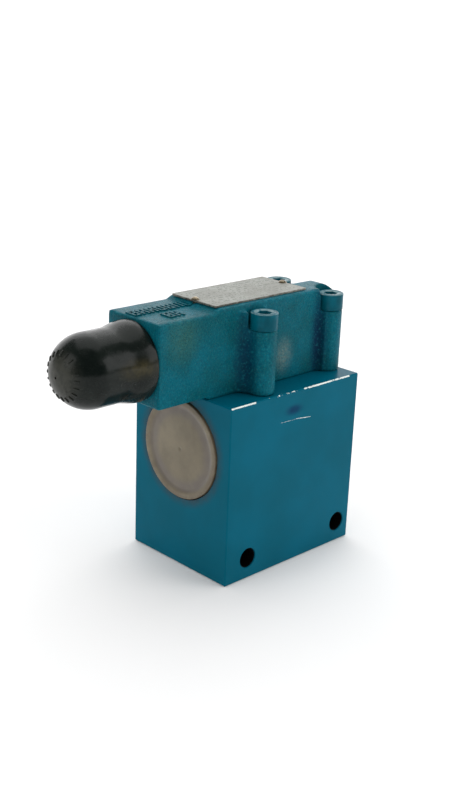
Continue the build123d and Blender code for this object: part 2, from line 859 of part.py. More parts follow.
parts = {
    "main_block": main_block(),
    "main_sleeve": main_sleeve(),
    "main_poppet": main_poppet(),
    "poppet_jet": poppet_jet(),
    "main_spring": main_spring(),
    "sleeve_upper_seal": sleeve_seal(0),
    "sleeve_lower_seal": sleeve_seal(1),
    "sleeve_backup_ring": sleeve_backup_ring(),
    "cartridge_face_seal": interface_seal(0),
    "drain_face_seal": interface_seal(1),
    "pilot_body": pilot_body(),
    "socket_head_screws": socket_head_screws(),
    "nameplate": nameplate(),
    "nameplate_pins": nameplate_pins(),
    "control_jet": control_jet(),
    "pilot_seat": pilot_seat(),
    "pilot_poppet": pilot_poppet(),
    "pilot_spring": pilot_spring(),
    "spring_plate": spring_plate(),
    "spring_plate_seal": spring_plate_seal(),
    "adjuster_sleeve": adjuster_sleeve(),
    "adjuster_sleeve_seal": adjuster_sleeve_seal(),
    "adjusting_screw": adjusting_screw(),
    "lock_washer": lock_washer(),
    "lock_nut": lock_nut(),
    "protective_cap": protective_cap(),
    "end_plug": end_plug(),
    "end_plug_seal": end_plug_seal(),
    "vent_plug": vent_plug(),
    "vent_plug_seal": vent_plug_seal(),
    "outlet_port_plug": port_cover(-1),
    "inlet_port_plug": port_cover(1),
}

os.makedirs("parts", exist_ok=True)
for name, shape in parts.items():
    export_step(shape, f"parts/{name}.step")
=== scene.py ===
"""Looks of a pilot-operated pressure valve: painted block, sand-cast pilot valve, rubber cap, plastic plugs.

Every size is in metres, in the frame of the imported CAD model. Pieces take their places from the CAD nodes'
boxes, so a change to the model moves the looks with it.
"""

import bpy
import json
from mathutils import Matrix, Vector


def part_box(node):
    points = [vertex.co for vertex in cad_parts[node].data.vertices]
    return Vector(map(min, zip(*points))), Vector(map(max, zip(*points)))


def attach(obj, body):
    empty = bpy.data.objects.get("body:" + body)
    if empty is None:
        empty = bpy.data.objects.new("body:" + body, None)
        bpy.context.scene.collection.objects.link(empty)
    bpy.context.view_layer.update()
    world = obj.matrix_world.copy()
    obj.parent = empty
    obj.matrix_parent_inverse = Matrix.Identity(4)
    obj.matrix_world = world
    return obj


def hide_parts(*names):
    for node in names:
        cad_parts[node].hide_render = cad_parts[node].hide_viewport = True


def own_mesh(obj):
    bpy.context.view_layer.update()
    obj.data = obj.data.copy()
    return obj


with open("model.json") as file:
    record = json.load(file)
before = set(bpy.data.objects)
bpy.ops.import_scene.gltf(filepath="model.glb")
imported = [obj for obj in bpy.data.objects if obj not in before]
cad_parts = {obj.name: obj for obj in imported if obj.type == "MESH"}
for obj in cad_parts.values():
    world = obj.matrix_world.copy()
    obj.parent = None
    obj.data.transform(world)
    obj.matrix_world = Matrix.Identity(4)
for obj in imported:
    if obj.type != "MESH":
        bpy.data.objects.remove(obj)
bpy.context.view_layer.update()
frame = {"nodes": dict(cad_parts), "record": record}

import json
import logging
import math
from dataclasses import dataclass
from enum import Enum
from typing import NamedTuple, Optional, Sequence

import bmesh
import bpy
from mathutils import Matrix, Vector

LOG = logging.getLogger("valve")
MM = 0.001
TOUCH = 1e-7
CREASE = 32.0
CORNER_OVER_FLAT = 1.1547
Colour = tuple[float, float, float]
Point = tuple[float, float, float]
Profile = list[tuple[float, float]]
Material = bpy.types.Material
Node = bpy.types.Node
Socket = bpy.types.NodeSocket


class Axis(Enum):
    """Direction of a turned piece's centre line."""

    X = "x"
    Y = "y"
    Z = "z"

    def place(self, along: float, radius: float, angle: float, centre: Vector) -> Vector:
        """Point of a turned piece.

        Args:
            along: place along the centre line.
            radius: distance from it.
            angle: angle round it.
            centre: a point on it.

        Returns:
            The point.
        """
        side, lift = radius * math.cos(angle), radius * math.sin(angle)
        if self is Axis.X:
            return Vector((along, centre.y + side, centre.z + lift))
        if self is Axis.Y:
            return Vector((centre.x + side, along, centre.z + lift))
        return Vector((centre.x + side, centre.y + lift, along))


class Body(Enum):
    """Rigid bodies of the valve."""

    HOUSING = "valve_body"
    CAP = "protective_cap"
    SCREW = "adjusting_screw"
    OUTLET = "outlet_port_plug"
    INLET = "inlet_port_plug"


# ---------------------------------------------------------------------------------------------
# Node trees


class Graph:
    """Short way to write a node tree, for shaders, shader groups and Geometry Nodes."""

    def __init__(self, tree: bpy.types.NodeTree) -> None:
        """Wraps an empty tree.

        Args:
            tree: the tree that nodes are added to.
        """
        self.tree = tree

    def node(self, kind: str, inputs: Optional[dict] = None, **settings: object) -> Node:
        """Adds one node.

        Args:
            kind: the node's type name.
            inputs: socket name or number to a value or to another node's output.
            settings: attributes of the node itself.

        Returns:
            The new node.
        """
        made = self.tree.nodes.new(kind)
        for name, value in settings.items():
            setattr(made, name, value)
        for key, value in (inputs or {}).items():
            socket = made.inputs[key]
            if isinstance(value, Socket):
                self.tree.links.new(value, socket)
            else:
                socket.default_value = value
        return made

    def group(self, name: str, inputs: dict) -> Node:
        """Places one of the shared node groups with its own values."""
        return self.node("ShaderNodeGroup", inputs, node_tree=GROUPS[name])

    def math(self, operation: str, first: object, second: object = 0.0) -> Socket:
        """Output of a Math node."""
        return self.node("ShaderNodeMath", {0: first, 1: second}, operation=operation).outputs[0]

    def plus(self, first: object, second: object) -> Socket:
        """Sum."""
        return self.math("ADD", first, second)

    def minus(self, first: object, second: object) -> Socket:
        """Difference."""
        return self.math("SUBTRACT", first, second)

    def times(self, first: object, second: object) -> Socket:
        """Product."""
        return self.math("MULTIPLY", first, second)

    def most(self, first: object, second: object) -> Socket:
        """The larger of two values."""
        return self.math("MAXIMUM", first, second)

    def least(self, first: object, second: object) -> Socket:
        """The smaller of two values."""
        return self.math("MINIMUM", first, second)

    def above(self, value: object, limit: object) -> Socket:
        """1 where a value is over a limit, else 0."""
        return self.math("GREATER_THAN", value, limit)

    def below(self, value: object, limit: object) -> Socket:
        """1 where a value is under a limit, else 0."""
        return self.math("LESS_THAN", value, limit)

    def between(self, value: object, low: object, high: object) -> Socket:
        """1 where a value lies between two limits, else 0."""
        return self.times(self.above(value, low), self.below(value, high))

    def vector(self, operation: str, first: object, second: object) -> Socket:
        """Output of a Vector Math node."""
        return self.node("ShaderNodeVectorMath", {0: first, 1: second}, operation=operation).outputs[0]

    def length(self, vector: object) -> Socket:
        """Length of a vector."""
        return self.node("ShaderNodeVectorMath", {0: vector}, operation="LENGTH").outputs["Value"]

    def split(self, vector: object) -> list[Socket]:
        """X, Y and Z of a vector."""
        return list(self.node("ShaderNodeSeparateXYZ", {0: vector}).outputs)

    def mix(self, factor: Socket, first: object, second: object) -> Socket:
        """Output of a colour Mix node.

        Args:
            factor: share of the second colour.
            first: a colour, or a socket that gives one.
            second: another.

        Returns:
            The mixed colour.
        """
        tones = [tone if isinstance(tone, Socket) else (*tone, 1.0) for tone in (first, second)]
        return self.node("ShaderNodeMix", {0: factor, 6: tones[0], 7: tones[1]}, data_type="RGBA").outputs[2]

    def ramp(self, value: object, low: float, high: float) -> Socket:
        """Value stretched so that low becomes 0 and high becomes 1, with smooth ends."""
        made = self.node("ShaderNodeMapRange", {0: value, 1: low, 2: high}, interpolation_type="SMOOTHSTEP")
        return made.outputs[0]

    def noise(self, vector: object, scale: object, detail: float = 3.0, rough: float = 0.5) -> Socket:
        """Factor of a Noise Texture, about 0.5 on average."""
        settings = {"Vector": vector, "Scale": scale, "Detail": detail, "Roughness": rough}
        return self.node("ShaderNodeTexNoise", settings).outputs[0]


def new_group(name: str, inputs: Sequence[tuple], outputs: Sequence[tuple]) -> tuple[Graph, dict, Node]:
    """Starts a shader node group.

    Args:
        name: the group's name.
        inputs: (name, socket type, default) of each input.
        outputs: (name, socket type) of each output.

    Returns:
        The graph to fill, the input sockets by name, and the output node.
    """
    tree = bpy.data.node_groups.new(name, "ShaderNodeTree")
    for label, kind, default in inputs:
        socket = tree.interface.new_socket(label, in_out="INPUT", socket_type=kind)
        if default is not None:
            socket.default_value = default
    for label, kind in outputs:
        tree.interface.new_socket(label, in_out="OUTPUT", socket_type=kind)
    graph = Graph(tree)
    entry = graph.node("NodeGroupInput")
    leave = graph.node("NodeGroupOutput")
    return graph, {socket.name: socket for socket in entry.outputs}, leave


FLOAT, VECTOR, COLOUR = "NodeSocketFloat", "NodeSocketVector", "NodeSocketColor"


def skin_group() -> bpy.types.NodeTree:
    """Surface of paint, plastic or metal: broad tone changes, fine specks, and a grain in relief.

    Returns:
        The group.
    """
    graph, given, leave = new_group(
        "surface_skin",
        [
            ("Vector", VECTOR, None), ("Light", COLOUR, (1, 1, 1, 1)), ("Dark", COLOUR, (0, 0, 0, 1)),
            ("Patch Scale", FLOAT, 60.0), ("Speck Scale", FLOAT, 900.0), ("Speck Amount", FLOAT, 0.3),
            ("Grain Scale", FLOAT, 1200.0), ("Grain Sharpness", FLOAT, 0.4),
        ],
        [("Color", COLOUR), ("Height", FLOAT), ("Specks", FLOAT)],
    )
    where = given["Vector"]
    patches = graph.ramp(graph.noise(where, given["Patch Scale"], detail=4.0, rough=0.55), 0.32, 0.70)
    specks = graph.ramp(graph.noise(where, given["Speck Scale"], detail=2.0, rough=0.6), 0.52, 0.72)
    strength = graph.times(specks, given["Speck Amount"])
    tone = graph.mix(patches, given["Dark"], given["Light"])
    speckled = graph.mix(strength, tone, given["Dark"])
    coarse = graph.noise(where, given["Grain Scale"], detail=2.0, rough=given["Grain Sharpness"])
    fine = graph.noise(where, graph.times(given["Grain Scale"], 2.7), detail=2.0)
    height = graph.plus(graph.times(coarse, 0.7), graph.times(fine, 0.3))
    graph.tree.links.new(speckled, leave.inputs["Color"])
    graph.tree.links.new(height, leave.inputs["Height"])
    graph.tree.links.new(specks, leave.inputs["Specks"])
    return graph.tree


def soft_patch_group() -> bpy.types.NodeTree:
    """Soft-edged patch around a point, broken up by noise.

    Returns:
        The group.
    """
    graph, given, leave = new_group(
        "soft_patch_mask",
        [
            ("Vector", VECTOR, None), ("Centre", VECTOR, (0, 0, 0)), ("Stretch", VECTOR, (1, 1, 1)),
            ("Inner", FLOAT, 0.0), ("Outer", FLOAT, 0.01), ("Breakup", FLOAT, 0.5), ("Scale", FLOAT, 500.0),
        ],
        [("Mask", FLOAT)],
    )
    where = given["Vector"]
    offset = graph.vector("SUBTRACT", where, given["Centre"])
    away = graph.length(graph.vector("MULTIPLY", offset, given["Stretch"]))
    reach = graph.node(
        "ShaderNodeMapRange", {0: away, 1: given["Inner"], 2: given["Outer"], 3: 1.0, 4: 0.0},
        interpolation_type="SMOOTHSTEP",
    ).outputs[0]
    cloud = graph.ramp(graph.noise(where, given["Scale"], detail=4.0, rough=0.65), 0.30, 0.68)
    whole = graph.times(reach, graph.minus(1.0, given["Breakup"]))
    broken = graph.times(graph.times(reach, cloud), given["Breakup"])
    mask = graph.plus(whole, broken)
    graph.tree.links.new(mask, leave.inputs["Mask"])
    return graph.tree


def chip_group() -> bpy.types.NodeTree:
    """Paint chipped off along a straight edge that runs in X, between two places, in ragged flakes.

    Returns:
        The group.
    """
    graph, given, leave = new_group(
        "edge_chips",
        [
            ("Vector", VECTOR, None), ("Edge Y", FLOAT, 0.0), ("Edge Z", FLOAT, 0.0),
            ("From", FLOAT, 0.0), ("To", FLOAT, 1.0), ("Width", FLOAT, 0.0008), ("Amount", FLOAT, 0.5),
            ("Scale", FLOAT, 300.0),
        ],
        [("Mask", FLOAT)],
    )
    where, scale, width = given["Vector"], given["Scale"], given["Width"]
    x, y, z = graph.split(where)
    from_y = graph.math("ABSOLUTE", graph.minus(y, given["Edge Y"]))
    from_z = graph.math("ABSOLUTE", graph.minus(z, given["Edge Z"]))
    broad = graph.noise(where, scale, detail=3.0, rough=0.7)
    ragged = graph.noise(where, graph.times(scale, 5.0), detail=2.0, rough=0.6)
    reach = graph.times(width, graph.plus(graph.times(broad, 0.9), 0.50))
    reach = graph.times(reach, graph.plus(graph.times(ragged, 0.6), 0.68))
    near = graph.below(graph.plus(from_y, from_z), reach)
    flakes = graph.noise(where, graph.times(scale, 0.45), detail=3.0, rough=0.7)
    less = graph.times(given["Amount"], 0.5)
    present = graph.ramp(flakes, graph.minus(0.75, less), graph.minus(0.78, less))
    mask = graph.times(graph.times(near, present), graph.between(x, given["From"], given["To"]))
    graph.tree.links.new(mask, leave.inputs["Mask"])
    return graph.tree


def scratch_group() -> bpy.types.NodeTree:
    """Hairline scratches: thin bands of stretched noise.

    Returns:
        The group.
    """
    graph, given, leave = new_group(
        "hairlines",
        [("Vector", VECTOR, None), ("Stretch", VECTOR, (40, 900, 900)), ("Fineness", FLOAT, 0.02)],
        [("Mask", FLOAT)],
    )
    where = given["Vector"]
    place = graph.node("ShaderNodeMapping", {"Vector": where, "Scale": given["Stretch"]}).outputs[0]
    middle = graph.math("ABSOLUTE", graph.minus(graph.noise(place, 1.0, detail=2.0), 0.5))
    gate = graph.ramp(graph.noise(where, 160.0, detail=2.0), 0.5, 0.62)
    mask = graph.times(graph.below(middle, given["Fineness"]), gate)
    graph.tree.links.new(mask, leave.inputs["Mask"])
    return graph.tree


GROUPS: dict[str, bpy.types.NodeTree] = {
    "skin": skin_group(),
    "soft_patch": soft_patch_group(),
    "chips": chip_group(),
    "hairlines": scratch_group(),
}


# ---------------------------------------------------------------------------------------------
# Finishes


@dataclass(frozen=True)
class SoftPatch:
    """A soft-edged patch, used for dust, wear and bloom and for painted shade and highlights, and how
    strongly it colours what lies under it.
    """

    inner: float
    outer: float
    breakup: float
    scale: float
    strength: float = 1.0
    stretch: Point = (1.0, 1.0, 1.0)

    def mask(self, graph: Graph, where: Socket, centre: Sequence[float], unit: float = 1.0) -> Socket:
        """Places the patch.

        Args:
            graph: the material's graph.
            where: object coordinates.
            centre: middle of the patch.
            unit: length that its inner and outer reach are measured in, in metres.

        Returns:
            A mask, 1 at the middle.
        """
        return graph.group("soft_patch", {
            "Vector": where, "Centre": centre, "Stretch": self.stretch, "Inner": self.inner * unit,
            "Outer": self.outer * unit, "Breakup": self.breakup, "Scale": self.scale,
        }).outputs[0]

    def tint(self, graph: Graph, mask: Socket, under: Socket, tone: Colour) -> Socket:
        """Colour of a surface with the patch on it."""
        return graph.mix(graph.times(mask, self.strength), under, tone)


class Chipping(NamedTuple):
    """Paint lost along the block's top front edge: its ends as shares of the length, its width and amount."""

    start: float
    end: float
    width: float
    amount: float


class Scratch(NamedTuple):
    """A scratch on the block's front: its ends as shares of the length, its drop, its slope and its width."""

    start: float
    end: float
    drop: float
    slope: float
    width: float


def port_circle(plug: str) -> tuple[float, float]:
    """Height of a port plug's centre line, and the plug's radius."""
    low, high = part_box(plug)
    return (low.z + high.z) / 2, (high.z - low.z) / 2


@dataclass(frozen=True)
class Finish:
    """A surface finish: two tones of one colour, specks, grain in relief, and how it shines."""

    name: str
    light: Colour
    dark: Colour
    roughness: float = 0.5
    roughness_spread: float = 0.08
    metallic: float = 0.0
    specular: float = 0.5
    patch_scale: float = 60.0
    speck_scale: float = 900.0
    speck_amount: float = 0.25
    grain_scale: float = 1500.0
    grain_depth: float = 0.04 * MM
    grain_sharpness: float = 0.5

    def start(self) -> tuple[Material, Graph, Node, Node, Socket]:
        """Makes the material with its Principled shader and the surface skin.

        Returns:
            The material, its graph, the Principled node, the skin group node and the object coordinates.
        """
        material = bpy.data.materials.new(self.name)
        material.use_nodes = True
        material.node_tree.nodes.clear()
        graph = Graph(material.node_tree)
        output = graph.node("ShaderNodeOutputMaterial")
        shader = graph.node("ShaderNodeBsdfPrincipled", {
            "Specular IOR Level": self.specular, "Metallic": self.metallic,
        })
        graph.tree.links.new(shader.outputs[0], output.inputs["Surface"])
        where = graph.node("ShaderNodeTexCoord").outputs["Object"]
        skin = graph.group("skin", {
            "Vector": where, "Light": (*self.light, 1), "Dark": (*self.dark, 1),
            "Patch Scale": self.patch_scale, "Speck Scale": self.speck_scale,
            "Speck Amount": self.speck_amount, "Grain Scale": self.grain_scale,
            "Grain Sharpness": self.grain_sharpness,
        })
        return material, graph, shader, skin, where

    def close(self, graph: Graph, shader: Node, colour: Socket, height: Socket, rough_by: Socket) -> None:
        """Joins colour, roughness and relief to the shader.

        Args:
            graph: the material's graph.
            shader: its Principled node.
            colour: socket for the base colour.
            height: socket for the relief, 0 to 1.
            rough_by: mask that raises the roughness.
        """
        graph.tree.links.new(colour, shader.inputs["Base Color"])
        low, high = self.roughness - self.roughness_spread, self.roughness + self.roughness_spread
        rough = graph.node("ShaderNodeMapRange", {0: rough_by, 3: low, 4: high}).outputs[0]
        graph.tree.links.new(rough, shader.inputs["Roughness"])
        bump = graph.node("ShaderNodeBump", {"Height": height, "Distance": self.grain_depth, "Strength": 1.0})
        graph.tree.links.new(bump.outputs[0], shader.inputs["Normal"])

    def build(self) -> Material:
        """Plain version of the finish: skin alone.

        Returns:
            The material.
        """
        material, graph, shader, skin, _ = self.start()
        self.close(graph, shader, skin.outputs["Color"], skin.outputs["Height"], skin.outputs["Specks"])
        return material


@dataclass(frozen=True)
class BlockPaint(Finish):
    """Enamel on the machined block, chipped along its top front edge, scratched, with a brown halo round the
    port plug, and painted shade in its holes, round its plugs and in its dent.

    The mounting holes are given from the block's low corner, the bores as a share of the plugs' radius.
    """

    bare: Colour = (0.80, 0.84, 0.80)
    # Brown of the halo round the outlet plug.
    soft_patch: Colour = (0.050, 0.046, 0.044)
    # Dark blue painted as the shade in the dent.
    dent_shade: Colour = (0.0, 0.026, 0.082)
    # Near black painted as the shade in the mounting holes and in the narrow gap round each plug.
    painted_shade: Colour = (0.004, 0.004, 0.004)
    steel: Colour = (0.062, 0.060, 0.056)
    worn_edge: tuple[Chipping, ...] = (
        Chipping(0.0, 0.18, 0.60 * MM, 1.10), Chipping(0.18, 0.55, 0.49 * MM, 0.80),
        Chipping(0.55, 0.925, 0.61 * MM, 1.00),
    )
    chip_scale: float = 330.0
    bare_depth: float = 2.0
    scratches: tuple[Scratch, ...] = (
        Scratch(0.495, 0.612, 14.4 * MM, -0.115, 0.38 * MM),
        Scratch(0.375, 0.490, 14.2 * MM, -0.035, 0.20 * MM),
    )
    scratch_depth: float = 0.3 * MM
    scratch_grain: float = 520.0
    plug_halo: SoftPatch = SoftPatch(inner=0.98, outer=1.24, breakup=0.60, scale=190.0, strength=0.80)
    dent: SoftPatch = SoftPatch(
        0.6 * MM, 4.1 * MM, breakup=0.15, scale=300.0, strength=0.92, stretch=(0.50, 1.0, 1.1),
    )
    dent_along: float = 0.475
    dent_drop: float = 9.4 * MM
    dent_depth: float = 9.0
    holes: tuple[tuple[float, float], ...] = ((14.8 * MM, 10.8 * MM), (79.8 * MM, 10.8 * MM))
    hole_r: float = 5.0 * MM
    seat_gap: float = 0.15 * MM
    plug_gap: float = 0.8 * MM
    bore: float = 0.86

    def build(self) -> Material:
        """Adds the brown halo round the plug, painted shade in the holes and round the plugs, bare bores,
        chips, scratches and a dent with painted shade.

        Returns:
            The material.
        """
        material, graph, shader, skin, where = self.start()
        low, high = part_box("main_block")
        length = high.x - low.x
        plug_z, plug_r = port_circle("outlet_port_plug")
        # A brown halo round the outlet plug, fading out from its edge.
        plug_halo = self.plug_halo.mask(graph, where, (low.x, 0.0, plug_z), plug_r)
        colour = self.plug_halo.tint(graph, plug_halo, skin.outputs["Color"], self.soft_patch)
        # The holes and the gap round each plug are painted near black as shade; the port bores get bare
        # steel.
        shaded_gaps, bores = self.shade(graph, where, low, high)
        colour = graph.mix(shaded_gaps, colour, self.painted_shade)
        colour = graph.mix(bores, colour, self.steel)
        bare = self.scratched(graph, where, low, high)
        for chipping in self.worn_edge:
            chips = graph.group("chips", {
                "Vector": where, "Edge Y": low.y, "Edge Z": high.z,
                "From": low.x + chipping.start * length, "To": low.x + chipping.end * length,
                "Width": chipping.width, "Amount": chipping.amount, "Scale": self.chip_scale,
            }).outputs[0]
            bare = graph.most(bare, chips)
        colour = graph.mix(bare, colour, self.bare)
        dent_x, dent_z = low.x + self.dent_along * length, high.z - self.dent_drop
        dent = self.dent.mask(graph, where, (dent_x, low.y, dent_z))
        relief = graph.plus(skin.outputs["Height"], graph.times(dent, -self.dent_depth))
        relief = graph.plus(relief, graph.times(bare, -self.bare_depth))
        # The dent's shade is painted into the colour as well as bumped into the relief.
        colour = self.dent.tint(graph, dent, colour, self.dent_shade)
        self.close(graph, shader, colour, relief, graph.most(skin.outputs["Specks"], bare))
        return material

    def shade(self, graph: Graph, where: Socket, low: Vector, high: Vector) -> tuple[Socket, Socket]:
        """Insides: the mounting holes and the narrow gap round each port plug, painted near black as shade,
        and the bare port bores.

        Args:
            graph: the material's graph.
            where: object coordinates.
            low: the block's lowest corner.
            high: its highest corner.

        Returns:
            A mask of the holes and plug gap painted as shade, and a mask of the bores.
        """
        x, y, z = graph.split(where)

        def within(first: Socket, centre: float, second: Socket, middle: float, radius: float) -> Socket:
            """Round space about a line along the third axis.

            Args:
                first: place along one axis.
                centre: the line's place on it.
                second: place along another axis.
                middle: the line's place on that.
                radius: how far the space reaches.

            Returns:
                A mask, 1 nearer to the line than the radius.
            """
            one = graph.math("POWER", graph.minus(first, centre), 2.0)
            two = graph.math("POWER", graph.minus(second, middle), 2.0)
            return graph.below(graph.plus(one, two), radius ** 2)

        holes = [within(x, low.x + along, z, low.z + up, self.hole_r) for along, up in self.holes]
        dark, bores = graph.most(holes[0], holes[1]), 0.0
        for plug, sign in (("outlet_port_plug", -1.0), ("inlet_port_plug", 1.0)):
            plug_z, plug_r = port_circle(plug)
            face = abs(low.x if sign < 0 else high.x)
            sunk = graph.between(graph.times(x, sign), 0.0, face - self.seat_gap)
            gap = within(y, 0.0, z, plug_z, plug_r + self.plug_gap)
            bore = within(y, 0.0, z, plug_z, plug_r * self.bore)
            # The gap round each plug is painted near black as shade.
            dark = graph.most(dark, graph.times(gap, sunk))
            bores = graph.most(bores, graph.times(bore, sunk))
        return dark, bores

    def scratched(self, graph: Graph, where: Socket, low: Vector, high: Vector) -> Socket:
        """Two thin slanting scratches on the front face, one clearer than the other.

        Args:
            graph: the material's graph.
            where: object coordinates.
            low: the block's lowest corner.
            high: its highest corner.

        Returns:
            A mask, 1 on the scratches.
        """
        length = high.x - low.x
        x, y, z = graph.split(where)
        uneven = graph.noise(where, self.scratch_grain, detail=3.0, rough=0.7)
        found = 0.0
        for scratch in self.scratches:
            along = graph.minus(x, low.x + scratch.start * length)
            line_z = graph.plus(graph.times(along, scratch.slope), high.z - scratch.drop)
            off = graph.math("ABSOLUTE", graph.minus(z, line_z))
            half = graph.minus(graph.times(uneven, scratch.width), scratch.width / 5)
            span = graph.between(along, 0.0, (scratch.end - scratch.start) * length)
            found = graph.most(found, graph.times(graph.below(off, half), span))
        return graph.times(found, graph.below(y, low.y + self.scratch_depth))


@dataclass(frozen=True)
class CastPaint(Finish):
    """Enamel on the sand casting, worn thin with a painted sheen on its upward faces, dusty beside the front
    screw boss, with painted shade in the hollows beside the bosses.

    Distances along X run from the left screws, or from the casting's left end for the mossy side.
    """

    dust: Colour = (0.17, 0.22, 0.19)
    # Lighter blue on upward faces: worn paint, and a painted sheen of the overhead light.
    rubbed_and_sheen: Colour = (0.018, 0.205, 0.275)
    moss: Colour = (0.075, 0.150, 0.070)
    # Near black blue: painted shade in the hollows beside the bosses, and the dark pits of the grain.
    dark_pits_and_shade: Colour = (0.0, 0.014, 0.045)
    # Light blue painted as glints on the grain.
    glint: Colour = (0.020, 0.260, 0.300)
    dusty: SoftPatch = SoftPatch(
        0.0, 7.6 * MM, breakup=0.80, scale=1100.0, strength=0.80, stretch=(0.85, 0.6, 0.60),
    )
    dusty_along: float = 28.5 * MM
    dusty_up: float = 13.0 * MM
    mossy: SoftPatch = SoftPatch(
        2.0 * MM, 13.0 * MM, breakup=1.0, scale=1900.0, strength=0.42, stretch=(0.9, 0.5, 0.8),
    )
    mossy_along: float = 14.0 * MM
    mossy_drop: float = 10.0 * MM
    # Painted shade in the hollows beside the front bosses.
    painted_shade: SoftPatch = SoftPatch(
        0.6 * MM, 6.4 * MM, breakup=0.15, scale=260.0, strength=0.94, stretch=(1.0, 0.8, 0.16),
    )
    hollow_up: float = 17.0 * MM
    hollow_gap: float = 2.0 * MM
    hollow_left: float = 2.5 * MM
    hollow_front: float = -18.5 * MM
    head_r: float = 6.5 * MM
    fleck_scale: float = 2300.0
    fleck_strength: float = 0.22
    wear_scale: float = 420.0
    rub_and_sheen_strength: float = 0.35
    grit_scale: float = 950.0
    glint_strength: float = 0.26
    pit_strength: float = 0.30

    def hollows(self, screw_low: Vector, screw_high: Vector, low: Vector) -> list[Point]:
        """Places of the two hollows beside the front bosses, where shade is painted darkest.

        Args:
            screw_low: lowest corner of the four screws.
            screw_high: their highest corner.
            low: the casting's lowest corner.

        Returns:
            The two places.
        """
        up = low.z + self.hollow_up
        first = (screw_low.x - self.hollow_left, screw_low.y + self.head_r + self.hollow_gap, up)
        second = (screw_high.x - 2 * self.head_r - self.hollow_gap, self.hollow_front, up)
        return [first, second]

    def build(self) -> Material:
        """Adds greenish flecks, the mossy side, the dusty patch, painted shade in the hollows, worn tops with
        a painted sheen, and painted glints and dark pits in the grit.

        Returns:
            The material.
        """
        material, graph, shader, skin, where = self.start()
        low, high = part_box("pilot_body")
        screw_low, screw_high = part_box("socket_head_screws")
        front = -(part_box("protective_cap")[1].y)
        flecks = graph.ramp(graph.noise(where, self.fleck_scale, detail=2.0, rough=0.6), 0.54, 0.66)
        colour = graph.mix(graph.times(flecks, self.fleck_strength), skin.outputs["Color"], self.moss)
        mossy = self.mossy.mask(graph, where, (low.x + self.mossy_along, front, high.z - self.mossy_drop))
        colour = self.mossy.tint(graph, mossy, colour, self.moss)
        dusty = self.dusty.mask(graph, where, (screw_low.x + self.dusty_along, front, low.z + self.dusty_up))
        colour = self.dusty.tint(graph, dusty, colour, self.dust)
        # Shade is painted into the hollows beside the bosses.
        for place in self.hollows(screw_low, screw_high, low):
            colour = self.painted_shade.tint(graph, self.painted_shade.mask(graph, where, place), colour, self.dark_pits_and_shade)
        facing = graph.split(graph.node("ShaderNodeNewGeometry").outputs["Normal"])
        wear = graph.ramp(graph.noise(where, self.wear_scale, detail=4.0, rough=0.7), 0.35, 0.75)
        # Upward faces lighter: worn paint and a painted sheen of the overhead light.
        worn = graph.times(graph.ramp(facing[2], 0.35, 0.80), wear)
        colour = graph.mix(graph.times(worn, self.rub_and_sheen_strength), colour, self.rubbed_and_sheen)
        # Painted glints and dark pits on the grain.
        grit = graph.noise(where, self.grit_scale, detail=2.0, rough=0.6)
        colour = graph.mix(graph.times(graph.ramp(grit, 0.54, 0.72), self.glint_strength), colour, self.glint)
        colour = graph.mix(graph.times(graph.ramp(grit, 0.50, 0.32), self.pit_strength), colour, self.dark_pits_and_shade)
        self.close(graph, shader, colour, skin.outputs["Height"], skin.outputs["Specks"])
        return material


@dataclass(frozen=True)
class ScrewPaint(Finish):
    """Enamel on the screw heads, worn pale round the sockets, with shade painted near black inside them.

    The rim and the socket are given by how far they lie below the heads' tops.
    """

    worn: Colour = (0.120, 0.220, 0.240)
    unlit: Colour = (0.01, 0.008, 0.004)
    rim: tuple[float, float] = (0.06 * MM, 0.75 * MM)
    socket: tuple[float, float] = (1.0 * MM, 6.0 * MM)
    upward: float = 0.35

    def build(self) -> Material:
        """Adds the worn rims and the shade painted in the sockets.

        Returns:
            The material.
        """
        material, graph, shader, skin, where = self.start()
        x, _, z = graph.split(where)
        below = graph.minus(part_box("socket_head_screws")[1].z, z)
        facing = graph.split(graph.node("ShaderNodeNewGeometry").outputs["Normal"])
        up = graph.above(facing[2], self.upward)
        rim = graph.times(graph.between(below, *self.rim), up)
        rim = graph.times(rim, graph.ramp(graph.noise(where, 520.0, detail=3.0, rough=0.6), 0.25, 0.55))
        on_block = graph.below(x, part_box("main_block")[1].x)
        socket = graph.times(graph.times(graph.between(below, *self.socket), on_block), up)
        colour = graph.mix(rim, skin.outputs["Color"], self.worn)
        # The sockets are painted near black as shade.
        colour = graph.mix(socket, colour, self.unlit)
        self.close(graph, shader, colour, skin.outputs["Height"], skin.outputs["Specks"])
        return material


